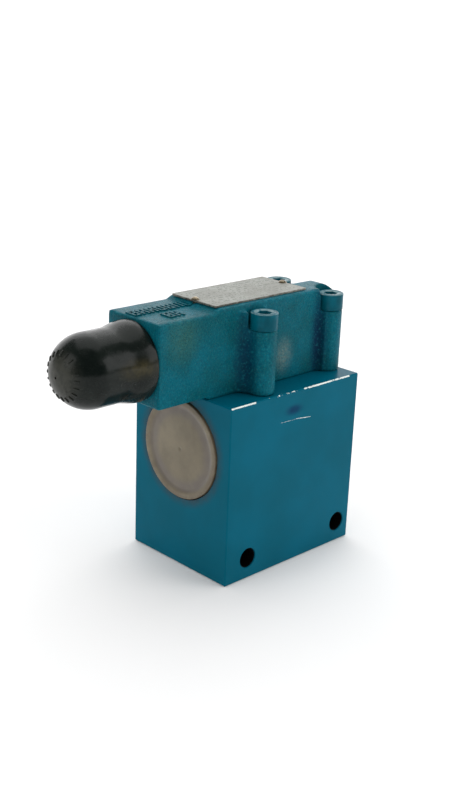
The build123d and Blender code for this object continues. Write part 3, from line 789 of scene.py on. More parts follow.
@dataclass(frozen=True)
class PlateMetal(Finish):
    """Worn aluminium plate with generic ruled fields stamped in rows.

    The line band and the rule are shares of a row.
    """

    ink: Colour = (0.075, 0.080, 0.065)
    # Dark painted along the plate's edges as the shadow line where it meets the casting.
    edge_shadow: Colour = (0.045, 0.035, 0.022)
    row: float = 3.0 * MM
    margin: float = 1.6 * MM
    line_band: tuple[float, float] = (0.40, 0.68)
    rule: float = 0.055
    mark_scale: float = 620.0
    mark_shift: float = 7.3
    mark_cut: float = 0.50
    field_scale: float = 55.0
    field_shift: float = 3.1
    field_cut: float = 0.44
    stamp_depth: float = 2.0
    shaded_edge: float = 0.9 * MM

    def build(self) -> Material:
        """Adds rows of broken dashes, ruled lines and shade painted along the edges.

        Returns:
            The material.
        """
        material, graph, shader, skin, where = self.start()
        low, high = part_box("nameplate")
        x, y, _ = graph.split(where)
        inset = graph.least(graph.least(graph.minus(x, low.x), graph.minus(high.x, x)),
                            graph.least(graph.minus(y, low.y), graph.minus(high.y, y)))
        inside = graph.above(inset, self.margin)
        worn = graph.ramp(graph.noise(where, 85.0, detail=4.0, rough=0.6), 0.22, 0.50)
        rows = self.rows(graph, x, graph.minus(y, low.y))
        ink = graph.times(graph.times(rows, inside), graph.times(worn, 0.95))
        colour = graph.mix(ink, skin.outputs["Color"], self.ink)
        # Shade is painted along the plate's edges, broken by noise.
        fade = {0: inset, 1: 0.0, 2: self.shaded_edge, 3: 0.75, 4: 0.0}
        edge = graph.node("ShaderNodeMapRange", fade).outputs[0]
        edge_shade = graph.times(edge, graph.ramp(graph.noise(where, 420.0, detail=4.0, rough=0.7), 0.38, 0.62))
        colour = graph.mix(edge_shade, colour, self.edge_shadow)
        relief = graph.minus(skin.outputs["Height"], graph.times(ink, self.stamp_depth))
        self.close(graph, shader, colour, relief, graph.most(edge_shade, skin.outputs["Specks"]))
        return material

    def rows(self, graph: Graph, x: Socket, across: Socket) -> Socket:
        """Rows of illegible dashes between ruled lines.

        Args:
            graph: the material's graph.
            x: place along the rows.
            across: distance from the plate's lower edge.

        Returns:
            A mask, 1 on the dashes and the rules.
        """
        count = graph.math("DIVIDE", across, self.row)
        cycle = graph.math("FRACT", count)
        line = graph.math("FLOOR", count)

        def pattern(scale: float, shift: float, detail: float, cut: float) -> Socket:
            """1 where a noise that differs from row to row passes a limit."""
            spot = graph.node("ShaderNodeCombineXYZ", {0: graph.times(x, scale), 1: graph.times(line, shift)})
            return graph.above(graph.noise(spot.outputs[0], 1.0, detail=detail), cut)

        marks = pattern(self.mark_scale, self.mark_shift, 1.0, self.mark_cut)
        fields = pattern(self.field_scale, self.field_shift, 0.0, self.field_cut)
        dashes = graph.times(graph.times(graph.between(cycle, *self.line_band), marks), fields)
        return graph.most(dashes, graph.below(cycle, self.rule))


@dataclass(frozen=True)
class WornMetal(Finish):
    """Bare metal with hairline scratches and dull stains."""

    stain: Colour = (0.16, 0.15, 0.12)
    stain_amount: float = 0.35
    stretch: Point = (30.0, 900.0, 900.0)
    line_width: float = 0.014
    line_strength: float = 0.35
    line_depth: float = 0.8

    def build(self) -> Material:
        """Adds stains and hairlines.

        Returns:
            The material.
        """
        material, graph, shader, skin, where = self.start()
        lines = graph.group("hairlines", {
            "Vector": where, "Stretch": self.stretch, "Fineness": self.line_width,
        }).outputs[0]
        stains = graph.ramp(graph.noise(where, 130.0, detail=5.0, rough=0.65), 0.50, 0.75)
        colour = graph.mix(graph.times(stains, self.stain_amount), skin.outputs["Color"], self.stain)
        colour = graph.mix(graph.times(lines, self.line_strength), colour, self.light)
        relief = graph.minus(skin.outputs["Height"], graph.times(lines, self.line_depth))
        self.close(graph, shader, colour, relief, graph.most(stains, skin.outputs["Specks"]))
        return material


@dataclass(frozen=True)
class CapRubber(Finish):
    """Moulded rubber with a handled sheen, greyish bloom near its tip and a warm highlight painted on its
    neck.
    """

    bloom: Colour = (0.055, 0.055, 0.045)
    # Warm brown painted on the neck as a highlight.
    warm_highlight: Colour = (0.085, 0.070, 0.030)
    tip: SoftPatch = SoftPatch(5.0 * MM, 15.0 * MM, breakup=0.45, scale=420.0, strength=0.75)
    neck: SoftPatch = SoftPatch(0.0, 10.5 * MM, breakup=0.6, scale=380.0, strength=0.55, stretch=(0.75, 0.5, 1.6))
    neck_back: float = 10.0 * MM
    neck_up: float = 2.0 * MM

    def build(self) -> Material:
        """Adds the bloom, the painted warm highlight and finger marks.

        Returns:
            The material.
        """
        material, graph, shader, skin, where = self.start()
        low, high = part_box("protective_cap")
        middle_z = (low.z + high.z) / 2
        tip = self.tip.mask(graph, where, (low.x, 0.0, middle_z))
        neck = self.neck.mask(graph, where, (high.x - self.neck_back, low.y, middle_z + self.neck_up))
        marks = graph.ramp(graph.noise(where, 190.0, detail=5.0, rough=0.7), 0.45, 0.72)
        colour = self.tip.tint(graph, tip, skin.outputs["Color"], self.bloom)
        # A warm highlight is painted on the neck.
        colour = self.neck.tint(graph, neck, colour, self.warm_highlight)
        self.close(graph, shader, colour, skin.outputs["Height"], graph.most(marks, tip))
        return material


@dataclass(frozen=True)
class CoverPlastic(Finish):
    """Aged translucent plastic: cloudy, with shade painted on its rim and in a ring in its dish.

    The unshaded middle and the shaded ring are given in shares of the plug's radius.
    """

    # Brown painted as the shade round the plug's rim.
    soft_patch: Colour = (0.085, 0.055, 0.035)
    # Grey painted as the dish's shade, in a ring.
    dish_shade: Colour = (0.118, 0.102, 0.100)
    scatter: float = 0.20
    scatter_reach: float = 2.0 * MM
    scatter_colour: Point = (1.0, 0.8, 0.5)
    unshaded: SoftPatch = SoftPatch(inner=0.80, outer=0.99, breakup=0.10, scale=240.0)
    dish_shade_starts: tuple[float, float] = (0.58, 0.76)
    dish_shade_ends: tuple[float, float] = (0.84, 0.91)
    dish_shade_strength: float = 0.60
    edge_shade_strength: float = 0.45
    cloud_strength: float = 0.18

    def build(self) -> Material:
        """Adds a ring of painted shade about the plug's centre, painted shade on the rim, and clouding.

        Returns:
            The material.
        """
        material, graph, shader, skin, where = self.start()
        shader.inputs["Subsurface Weight"].default_value = self.scatter
        shader.inputs["Subsurface Radius"].default_value = self.scatter_colour
        shader.inputs["Subsurface Scale"].default_value = self.scatter_reach
        plug_z, radius = port_circle("outlet_port_plug")
        centre = (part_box("outlet_port_plug")[0].x, 0.0, plug_z)
        rim = graph.minus(1.0, self.unshaded.mask(graph, where, centre, radius))
        away = graph.length(graph.vector("SUBTRACT", where, centre))
        # A ring of painted shade where the dish slopes.
        risen, fallen = (graph.ramp(away, *(radius * share for share in shares))
                         for shares in (self.dish_shade_starts, self.dish_shade_ends))
        dish_shade = graph.times(risen, graph.minus(1.0, fallen))
        cloud = graph.ramp(graph.noise(where, 120.0, detail=5.0, rough=0.6), 0.40, 0.70)
        # Shade is painted round the plug's rim, broken by noise.
        edge_shade = graph.times(rim, graph.ramp(graph.noise(where, 170.0, detail=4.0, rough=0.7), 0.30, 0.62))
        colour = graph.mix(graph.times(dish_shade, self.dish_shade_strength), skin.outputs["Color"], self.dish_shade)
        colour = graph.mix(graph.times(edge_shade, self.edge_shade_strength), colour, self.soft_patch)
        colour = graph.mix(graph.times(cloud, self.cloud_strength), colour, self.light)
        self.close(graph, shader, colour, skin.outputs["Height"], cloud)
        return material


def make_finishes() -> dict[str, Material]:
    """Builds every material, named by the record's material slots.

    Returns:
        Slot name to material.
    """
    finishes: dict[str, Finish] = {
        "painted_block": BlockPaint(
            "block_enamel", (0.0, 0.112, 0.176), (0.0, 0.096, 0.146), roughness=0.36, roughness_spread=0.06,
            specular=0.045, patch_scale=28.0, speck_amount=0.12, grain_scale=900.0, grain_depth=0.012 * MM,
        ),
        "painted_casting": CastPaint(
            "casting_enamel", (0.0, 0.112, 0.158), (0.0, 0.080, 0.104), roughness=0.40, roughness_spread=0.10,
            specular=0.05, patch_scale=75.0, speck_scale=1150.0, speck_amount=0.40, grain_scale=1250.0,
            grain_depth=0.42 * MM, grain_sharpness=0.65,
        ),
        "painted_fastener": ScrewPaint(
            "fastener_enamel", (0.0, 0.105, 0.150), (0.0, 0.062, 0.088), roughness=0.36, specular=0.08,
            patch_scale=120.0, grain_scale=1100.0, grain_depth=0.03 * MM,
        ),
        "nameplate_metal": PlateMetal(
            "plate_aluminium", (0.262, 0.274, 0.246), (0.185, 0.190, 0.163), roughness=0.55, metallic=0.25,
            patch_scale=85.0, speck_amount=0.30, speck_scale=1500.0, grain_depth=0.03 * MM,
        ),
        "drive_pin": WornMetal(
            "pin_steel", (0.40, 0.33, 0.22), (0.11, 0.09, 0.06), roughness=0.32, metallic=0.9,
            patch_scale=420.0, grain_depth=0.02 * MM,
        ),
        "bare_steel": WornMetal(
            "washer_steel", (0.50, 0.49, 0.47), (0.30, 0.29, 0.28), roughness=0.36, metallic=0.95,
        ),
        "ground_steel": WornMetal(
            "ground_steel", (0.58, 0.57, 0.55), (0.42, 0.41, 0.40), roughness=0.22, metallic=1.0,
            stain_amount=0.15, grain_depth=0.01 * MM,
        ),
        "spring_steel": WornMetal(
            "spring_wire", (0.20, 0.19, 0.18), (0.08, 0.08, 0.08), roughness=0.34, metallic=0.9,
            grain_depth=0.02 * MM,
        ),
        "zinc_steel": WornMetal(
            "zinc_plate", (0.62, 0.61, 0.56), (0.42, 0.41, 0.36), roughness=0.30, metallic=0.95,
            stain=(0.30, 0.24, 0.12), grain_depth=0.02 * MM, patch_scale=200.0,
        ),
        "brass_jet": WornMetal(
            "brass", (0.70, 0.48, 0.17), (0.48, 0.32, 0.11), roughness=0.28, metallic=1.0,
            stain=(0.20, 0.12, 0.05),
        ),
        "black_rubber": CapRubber(
            "cap_rubber", (0.0090, 0.0125, 0.0105), (0.0036, 0.0060, 0.0052), roughness=0.27,
            roughness_spread=0.08, specular=0.17, patch_scale=70.0, speck_amount=0.2, grain_scale=700.0,
            grain_depth=0.04 * MM,
        ),
        "seal_rubber": Finish(
            "seal_rubber", (0.016, 0.016, 0.016), (0.008, 0.008, 0.008), roughness=0.42,
            grain_depth=0.01 * MM,
        ),
        "backup_plastic": Finish(
            "backup_plastic", (0.78, 0.77, 0.70), (0.66, 0.64, 0.56), roughness=0.38, grain_depth=0.01 * MM,
        ),
        "cover_plastic": CoverPlastic(
            "cover_plastic", (0.205, 0.175, 0.118), (0.150, 0.125, 0.083), roughness=0.36, specular=0.35,
            patch_scale=60.0, speck_amount=0.15, grain_scale=500.0, grain_depth=0.03 * MM,
        ),
    }
    return {slot: finish.build() for slot, finish in finishes.items()}


# ---------------------------------------------------------------------------------------------
# Mesh tools


def link(data: bpy.types.ID, name: str) -> bpy.types.Object:
    """New object at the origin that holds a mesh, a light or a camera.

    Args:
        data: what it holds.
        name: its name.

    Returns:
        The object.
    """
    made = bpy.data.objects.new(name, data)
    bpy.context.scene.collection.objects.link(made)
    return made


def crease_edges(shape: bmesh.types.BMesh, angle: float) -> None:
    """Shades a shape smooth, with sharp edges from an angle in degrees.

    Args:
        shape: the shape.
        angle: angle from which an edge stays sharp.
    """
    limit = math.radians(angle)
    for face in shape.faces:
        face.smooth = True
    for edge in shape.edges:
        edge.smooth = len(edge.link_faces) == 2 and edge.calc_face_angle(0.0) < limit


def finish_mesh(shape: bmesh.types.BMesh, name: str, crease: float = CREASE) -> bpy.types.Object:
    """Turns a bmesh into an object with outward faces and sharp edges above an angle.

    Args:
        shape: the bmesh, which is freed.
        name: the object's name.
        crease: angle in degrees from which an edge stays sharp.

    Returns:
        The new object.
    """
    bmesh.ops.remove_doubles(shape, verts=shape.verts, dist=TOUCH)
    bmesh.ops.recalc_face_normals(shape, faces=shape.faces)
    crease_edges(shape, crease)
    mesh = bpy.data.meshes.new(name)
    shape.to_mesh(mesh)
    shape.free()
    return link(mesh, name)


class Ring(NamedTuple):
    """One ring of a turned piece: its place, its radius or half its flats, and whether it has six sides."""

    along: float
    radius: float
    six_sided: bool = False

    def reach(self, angle: float) -> float:
        """Distance from the centre line.

        Args:
            angle: angle round the line.

        Returns:
            The distance at that angle.
        """
        if not self.six_sided:
            return self.radius
        sixth = math.pi / 3
        return self.radius / math.cos((angle % sixth) - sixth / 2)


def lathe(rings: Sequence[Ring], axis: Axis, centre: Vector, segments: int) -> bmesh.types.BMesh:
    """Solid from rings that start and end on the centre line, or close on themselves.

    Args:
        rings: the outline, ring by ring.
        axis: direction of the centre line.
        centre: a point on the centre line.
        segments: number of steps round, a multiple of six if a ring has six sides.

    Returns:
        The closed mesh.
    """
    shape = bmesh.new()
    rows: list[list[bmesh.types.BMVert]] = []
    angles = [math.tau * k / segments for k in range(segments)]
    for ring in rings:
        turns = angles if ring.radius > 0.0 else [0.0]
        spots = [axis.place(ring.along, ring.reach(turn), turn, centre) for turn in turns]
        rows.append([shape.verts.new(spot) for spot in spots])
    pairs = list(zip(rows, rows[1:]))
    if len(rows[0]) > 1 and len(rows[-1]) > 1:
        pairs.append((rows[-1], rows[0]))
    for first, second in pairs:
        for k in range(segments):
            n = (k + 1) % segments
            if len(first) == 1 and len(second) > 1:
                shape.faces.new((first[0], second[k], second[n]))
            elif len(second) == 1 and len(first) > 1:
                shape.faces.new((first[k], first[n], second[0]))
            elif len(first) > 1:
                shape.faces.new((first[k], first[n], second[n], second[k]))
    return shape


def arc(centre: tuple[float, float], radius: float, start: float, end: float, steps: int) -> Profile:
    """Circular arc in an outline.

    Args:
        centre: its centre, along the line and away from it.
        radius: its radius.
        start: angle of its first point, in degrees.
        end: angle of its last point.
        steps: number of steps between them.

    Returns:
        Its points.
    """
    points = []
    for k in range(steps + 1):
        angle = math.radians(start + (end - start) * k / steps)
        points.append((centre[0] + radius * math.cos(angle), centre[1] + radius * math.sin(angle)))
    return points


def smooth_step(value: float) -> float:
    """Eases 0 to 1."""
    value = min(max(value, 0.0), 1.0)
    return value * value * (3 - 2 * value)


def cad_copy(node: str) -> bmesh.types.BMesh:
    """Copies a CAD node's mesh and merges its loose triangles.

    Args:
        node: the node's name.

    Returns:
        The copy.
    """
    shape = bmesh.new()
    shape.from_mesh(frame["nodes"][node].data)
    bmesh.ops.remove_doubles(shape, verts=shape.verts, dist=TOUCH)
    return shape


def evaluated(piece: bpy.types.Object, name: str) -> bpy.types.Object:
    """Applies an object's modifiers into a new object's plain mesh and removes the first.

    Args:
        piece: the object with modifiers.
        name: the new object's name.

    Returns:
        The new object.
    """
    graph = bpy.context.evaluated_depsgraph_get()
    mesh = bpy.data.meshes.new_from_object(piece.evaluated_get(graph), depsgraph=graph)
    mesh.name = name
    bpy.data.objects.remove(piece)
    return link(mesh, name)


def place_on(piece: bpy.types.Object, body: Body, slot: str, finish: Material,
             *nodes: str) -> bpy.types.Object:
    """Gives a finished piece its material and its body, and hides the CAD nodes that it stands for.

    Args:
        piece: the finished piece.
        body: the rigid body that carries it.
        slot: the record's material slot; not used.
        finish: its material.
        nodes: CAD nodes that it replaces.

    Returns:
        The piece.
    """
    if not piece.data.materials:
        piece.data.materials.append(finish)
    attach(piece, body.value)
    if nodes:
        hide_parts(*nodes)
    LOG.info("%s: %d faces", piece.name, len(piece.data.polygons))
    return piece


# ---------------------------------------------------------------------------------------------
# Geometry Nodes


class Repeater:
    """A Geometry Nodes tree with named inputs, used once on one object and then turned into a plain mesh."""

    def __init__(self, name: str) -> None:
        """Starts the tree.

        Args:
            name: the tree's name.
        """
        self.tree = bpy.data.node_groups.new(name, "GeometryNodeTree")
        self.tree.interface.new_socket("Geometry", in_out="INPUT", socket_type="NodeSocketGeometry")
        self.tree.interface.new_socket("Geometry", in_out="OUTPUT", socket_type="NodeSocketGeometry")
        self.graph = Graph(self.tree)
        self.entry = self.graph.node("NodeGroupInput")
        self.values: dict[str, object] = {}

    def value(self, name: str, kind: str, amount: object) -> Socket:
        """Adds a named input and the value that it is used with.

        Args:
            name: the input's name.
            kind: its socket type.
            amount: its value for this use.

        Returns:
            The socket inside the tree.
        """
        item = self.tree.interface.new_socket(name, in_out="INPUT", socket_type=kind)
        self.values[item.identifier] = amount
        return next(socket for socket in self.entry.outputs if socket.identifier == item.identifier)

    def source(self) -> Socket:
        """Geometry that the tree starts from."""
        return self.entry.outputs[0]

    def join(self, *parts: Socket) -> Socket:
        """Joins several geometries.

        Args:
            parts: the geometries.

        Returns:
            All of them as one.
        """
        joined = self.graph.node("GeometryNodeJoinGeometry")
        for part in parts:
            self.tree.links.new(part, joined.inputs[0])
        return joined.outputs[0]

    def run(self, piece: bpy.types.Object, result: Socket, material: Material,
            name: str) -> bpy.types.Object:
        """Ends the tree, runs it on an object, and keeps the result as a plain mesh.

        Args:
            piece: the object that the tree works on.
            result: the geometry to keep.
            material: the material of the result.
            name: the new object's name.

        Returns:
            The new object.
        """
        finish = self.value("Material", "NodeSocketMaterial", material)
        real = self.graph.node("GeometryNodeRealizeInstances", {0: result})
        dressed = self.graph.node("GeometryNodeSetMaterial", {
            "Geometry": real.outputs[0], "Material": finish,
        })
        self.graph.node("NodeGroupOutput", {0: dressed.outputs[0]})
        modifier = piece.modifiers.new(self.tree.name, "NODES")
        modifier.node_group = self.tree
        for identifier, amount in self.values.items():
            modifier[identifier] = amount
        made = evaluated(piece, name)
        shape = bmesh.new()
        shape.from_mesh(made.data)
        crease_edges(shape, CREASE)
        shape.to_mesh(made.data)
        shape.free()
        return made


def spun_copies(master: bpy.types.Object, places: Sequence[Sequence[float]], seed: int, material: Material,
                name: str) -> bpy.types.Object:
    """Copies of one piece standing at several points, each turned about its upright line by chance.

    Args:
        master: the piece at the origin, which is removed afterwards.
        places: where the copies go.
        seed: fixed number behind the turns.
        material: the material of the copies.
        name: the new object's name.

    Returns:
        One object with every copy.
    """
    dots = bpy.data.meshes.new(name + "_places")
    dots.from_pydata([tuple(place) for place in places], [], [])
    repeater = Repeater(name + "_copies")
    original = repeater.value("Original", "NodeSocketObject", master)
    number = repeater.value("Seed", "NodeSocketInt", seed)
    graph = repeater.graph
    shape = graph.node("GeometryNodeObjectInfo", {"Object": original}).outputs["Geometry"]
    turn = graph.node("FunctionNodeRandomValue", {"Seed": number}, data_type="FLOAT")
    turn.inputs[3].default_value = math.tau
    spin = graph.node("ShaderNodeCombineXYZ", {2: turn.outputs[1]})
    spread = graph.node("GeometryNodeInstanceOnPoints", {
        "Points": repeater.source(), "Instance": shape, "Rotation": spin.outputs[0],
    })
    made = repeater.run(link(dots, name + "_dots"), spread.outputs[0], material, name)
    bpy.data.objects.remove(master)
    return made


# ---------------------------------------------------------------------------------------------
# Pieces


@dataclass(frozen=True)
class CastingSize:
    """The sand casting's skin, and the strokes that stand on its low top.

    A row of strokes gives its start from the casting's end, its place across and its count. A stroke gives
    its place in the step, its two sides and how often it appears.
    """

    voxel: float = 0.62 * MM
    soften: float = 0.5
    rounding: int = 5
    relief: float = 0.24 * MM
    grain: float = 850.0
    wave: float = 130.0
    inset: float = 1.35
    skin_seed: float = 3.0
    mark_drop: float = 1.6 * MM
    mark_rise: float = 1.1 * MM
    mark_step: float = 5.1 * MM
    mark_seed: int = 21
    rows: tuple[tuple[float, float, int], ...] = ((3.2 * MM, 3.2 * MM, 7), (14.0 * MM, -8.0 * MM, 2))
    strokes: tuple[tuple[float, float, float, float, float], ...] = (
        (-1.4 * MM, 0.0, 0.9 * MM, 7.2 * MM, 1.0), (1.4 * MM, 0.0, 0.9 * MM, 7.2 * MM, 0.60),
        (0.0, 3.2 * MM, 3.0 * MM, 0.9 * MM, 0.45), (0.0, 0.0, 2.8 * MM, 0.9 * MM, 0.50),
        (0.0, -3.2 * MM, 3.0 * MM, 0.9 * MM, 0.50),
    )


class Casting:
    """The pilot valve's sand-cast body: rounded edges and a grainy skin."""

    def __init__(self, size: CastingSize, finish: Material) -> None:
        """Keeps the size and the finish."""
        self.size = size
        self.finish = finish

    def build(self) -> bpy.types.Object:
        """Rounds and roughens a copy of the CAD casting.

        Returns:
            The casting's visible body.
        """
        shape = cad_copy("pilot_body")
        rough = finish_mesh(shape, "casting_blank")
        remesh = rough.modifiers.new("even", "REMESH")
        remesh.mode = "VOXEL"
        remesh.voxel_size = self.size.voxel
        remesh.use_smooth_shade = True
        soften = rough.modifiers.new("soften", "SMOOTH")
        soften.factor = self.size.soften
        soften.iterations = self.size.rounding
        even = evaluated(rough, "casting_even")
        repeater = Repeater("cast_skin")
        graph = repeater.graph
        depth = repeater.value("Relief", "NodeSocketFloat", self.size.relief)
        scale = repeater.value("Grain", "NodeSocketFloat", self.size.grain)
        wave = repeater.value("Wave", "NodeSocketFloat", self.size.wave)
        seed = repeater.value("Seed", "NodeSocketFloat", self.size.skin_seed)
        fine, broad = (graph.node("ShaderNodeTexNoise", {"W": seed, "Scale": grain, "Detail": 2.0},
                                  noise_dimensions="4D").outputs[0] for grain in (scale, wave))
        both = graph.plus(graph.times(fine, 0.5), broad)
        inward = graph.times(graph.minus(both, self.size.inset), depth)
        normal = graph.node("GeometryNodeInputNormal")
        push = graph.node("ShaderNodeVectorMath", {0: normal.outputs[0]}, operation="SCALE")
        graph.tree.links.new(inward, push.inputs["Scale"])
        moved = graph.node("GeometryNodeSetPosition", {
            "Geometry": repeater.source(), "Offset": push.outputs[0],
        })
        marks = self.marks(repeater)
        body = repeater.run(even, repeater.join(moved.outputs[0], marks), self.finish, "casting_body")
        return place_on(body, Body.HOUSING, "painted_casting", self.finish, "pilot_body")

    def marks(self, repeater: Repeater) -> Socket:
        """Rows of meaningless raised strokes on the low top, where a foundry puts its marks.

        Args:
            repeater: the tree to add them to.

        Returns:
            The strokes.
        """
        graph = repeater.graph
        size = self.size
        low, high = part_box("pilot_body")
        top = high.z - size.mark_drop
        rise = repeater.value("Mark Rise", "NodeSocketFloat", size.mark_rise)
        step = repeater.value("Mark Step", "NodeSocketFloat", size.mark_step)
        seed = repeater.value("Mark Seed", "NodeSocketInt", size.mark_seed)
        offset = graph.node("ShaderNodeCombineXYZ", {0: step})
        rows = []
        for number, (dx, dy, wide, tall, chance) in enumerate(size.strokes):
            extent = graph.node("ShaderNodeCombineXYZ", {0: wide, 1: tall, 2: rise})
            block = graph.node("GeometryNodeMeshCube", {"Size": extent.outputs[0]})
            for start, side, count in size.rows:
                line = graph.node("GeometryNodeMeshLine", {
                    "Count": count, "Start Location": (low.x + start + dx, side + dy, top),
                    "Offset": offset.outputs[0],
                })
                pick = graph.node("FunctionNodeRandomValue", {
                    "Probability": chance, "Seed": graph.plus(seed, number * 7),
                }, data_type="BOOLEAN")
                rows.append(graph.node("GeometryNodeInstanceOnPoints", {
                    "Points": line.outputs[0], "Instance": block.outputs[0], "Selection": pick.outputs[3],
                }).outputs[0])
        return repeater.join(*rows)


@dataclass(frozen=True)
class ScrewSize:
    """A socket-head cap screw, M8. The rim's two radii are shares of the head's."""

    edge: float = 0.55 * MM
    rim: tuple[float, float] = (0.80, 0.77)
    rim_drop: float = 0.10 * MM
    head: float = 8.0 * MM
    seat_edge: float = 0.08 * MM
    socket: float = 6.0 * MM
    socket_depth: float = 4.0 * MM
    socket_mouth: float = 0.35 * MM
    socket_point: float = 0.9 * MM
    mouth_ring: float = 0.5 * MM
    mouth_chamfer: float = 0.10 * MM
    thread_r: float = 4.0 * MM
    thread_end: float = 0.6 * MM
    neck: float = 0.4 * MM
    turn_seed: int = 7


class HeadScrews:
    """The four screws that hold the casting down."""

    def __init__(self, size: ScrewSize, finish: Material) -> None:
        """Keeps the size and the finish."""
        self.size = size
        self.finish = finish

    def places(self) -> list[tuple[Vector, float]]:
        """Finds the screws in the CAD node by its separate solids.

        Returns:
            Centre of each head's top and the head's radius, from left to right and front to back.
        """
        shape = cad_copy("socket_head_screws")
        left = set(shape.verts)
        found = []
        while left:
            stack, island = [left.pop()], []
            while stack:
                vertex = stack.pop()
                island.append(vertex.co.copy())
                for edge in vertex.link_edges:
                    other = edge.other_vert(vertex)
                    if other in left:
                        left.remove(other)
                        stack.append(other)
            low = Vector(min(place[axis] for place in island) for axis in range(3))
            high = Vector(max(place[axis] for place in island) for axis in range(3))
            found.append((Vector(((low.x + high.x) / 2, (low.y + high.y) / 2, high.z)), (high.x - low.x) / 2))
        shape.free()
        return sorted(found, key=lambda item: (round(item[0].x, 4), item[0].y))

    def build(self) -> bpy.types.Object:
        """One screw, copied to its four places.

        Returns:
            The screws' visible body.
        """
        found = self.places()
        size = self.size
        low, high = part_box("socket_head_screws")
        head_r = found[0][1]
        head = size.head
        length = high.z - low.z
        flats = size.socket / 2
        rings = [
            Ring(-length, 0.0), Ring(-length, size.thread_r - size.thread_end),
            Ring(-length + size.thread_end, size.thread_r), Ring(-head - size.neck, size.thread_r),
            Ring(-head, size.thread_r + size.neck),
            Ring(-head, head_r - size.seat_edge), Ring(-head + size.seat_edge, head_r),
        ]
        rings += [Ring(x, r) for x, r in arc((-size.edge, head_r - size.edge), size.edge, 90, 0, 5)]
        rings += [
            Ring(0.0, head_r * size.rim[0]), Ring(-size.rim_drop, head_r * size.rim[1]),
            Ring(-size.rim_drop, flats * CORNER_OVER_FLAT + size.mouth_ring),
            Ring(-size.socket_mouth, flats + size.mouth_chamfer, True),
            Ring(-size.socket_mouth * 1.6, flats, True), Ring(-size.socket_depth, flats, True),
            Ring(-size.socket_depth - size.socket_point, 0.0),
        ]
        turned = lathe(rings, Axis.Z, Vector((0, 0, 0)), segments=72)
        master = finish_mesh(turned, "screw_master", crease=38)
        places = [place for place, _ in found]
        screws = spun_copies(master, places, size.turn_seed, self.finish, "head_screws")
        return place_on(screws, Body.HOUSING, "painted_fastener", self.finish, "socket_head_screws")


@dataclass(frozen=True)
class PlateSize:
    """The nameplate's edge and the heads of its drive pins."""

    edge: float = 0.18 * MM
    head_r: float = 2.15 * MM
    head: float = 1.3 * MM
    shank_r: float = 1.0 * MM
    turn_seed: int = 11


class NamePlate:
    """Thin aluminium plate with generic ruled fields, and its two drive pins."""

    def __init__(self, size: PlateSize, metal: Material, pin: Material) -> None:
        """Keeps the size and the finishes.

        Args:
            size: sizes of the edge and the pins.
            metal: the plate's material.
            pin: the pins' material.
        """
        self.size = size
        self.metal = metal
        self.pin = pin

    def build(self) -> None:
        """Builds the plate and the pins."""
        sheet = finish_mesh(cad_copy("nameplate"), "plate_blank", crease=30)
        rounded = sheet.modifiers.new("edge", "BEVEL")
        rounded.width = self.size.edge
        rounded.segments = 2
        rounded.limit_method = "ANGLE"
        rounded.angle_limit = math.radians(40)
        plate = evaluated(sheet, "nameplate_sheet")
        place_on(plate, Body.HOUSING, "nameplate_metal", self.metal, "nameplate")
        low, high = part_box("nameplate_pins")
        size = self.size
        seat = high.z - size.head
        dome_r = (size.head_r ** 2 + size.head ** 2) / (2 * size.head)
        rings = [Ring(low.z - seat, 0.0), Ring(low.z - seat, size.shank_r), Ring(0.0, size.shank_r)]
        half = math.degrees(math.asin(size.head_r / dome_r))
        rings += [Ring(x, max(r, 0.0)) for x, r in arc((size.head - dome_r, 0.0), dome_r, half, 0, 8)]
        master = finish_mesh(lathe(rings, Axis.Z, Vector((0, 0, 0)), segments=40), "pin_master", crease=50)
        places = [(low.x + size.head_r, 0.0, seat), (high.x - size.head_r, 0.0, seat)]
        pins = spun_copies(master, places, size.turn_seed, self.pin, "plate_pins")
        place_on(pins, Body.HOUSING, "drive_pin", self.pin, "nameplate_pins")


@dataclass(frozen=True)
class CapSize:
    """The rubber cap's outline and its ring of raised dashes. A dash gives its height, width and length."""

    wall: float = 2.05 * MM
    base_step: float = 1.8 * MM
    land: float = 2.5 * MM
    flare: float = 14.0 * MM
    hole_r: float = 0.6 * MM
    lip: float = 0.5 * MM
    mouth_chamfer: float = 0.4 * MM
    dash_count: int = 20
    dash_tilt: float = 37.0
    dash: Point = (0.9 * MM, 1.15 * MM, 2.9 * MM)
    dash_width: tuple[float, float] = (0.45, 1.45)
    dash_seed: int = 5


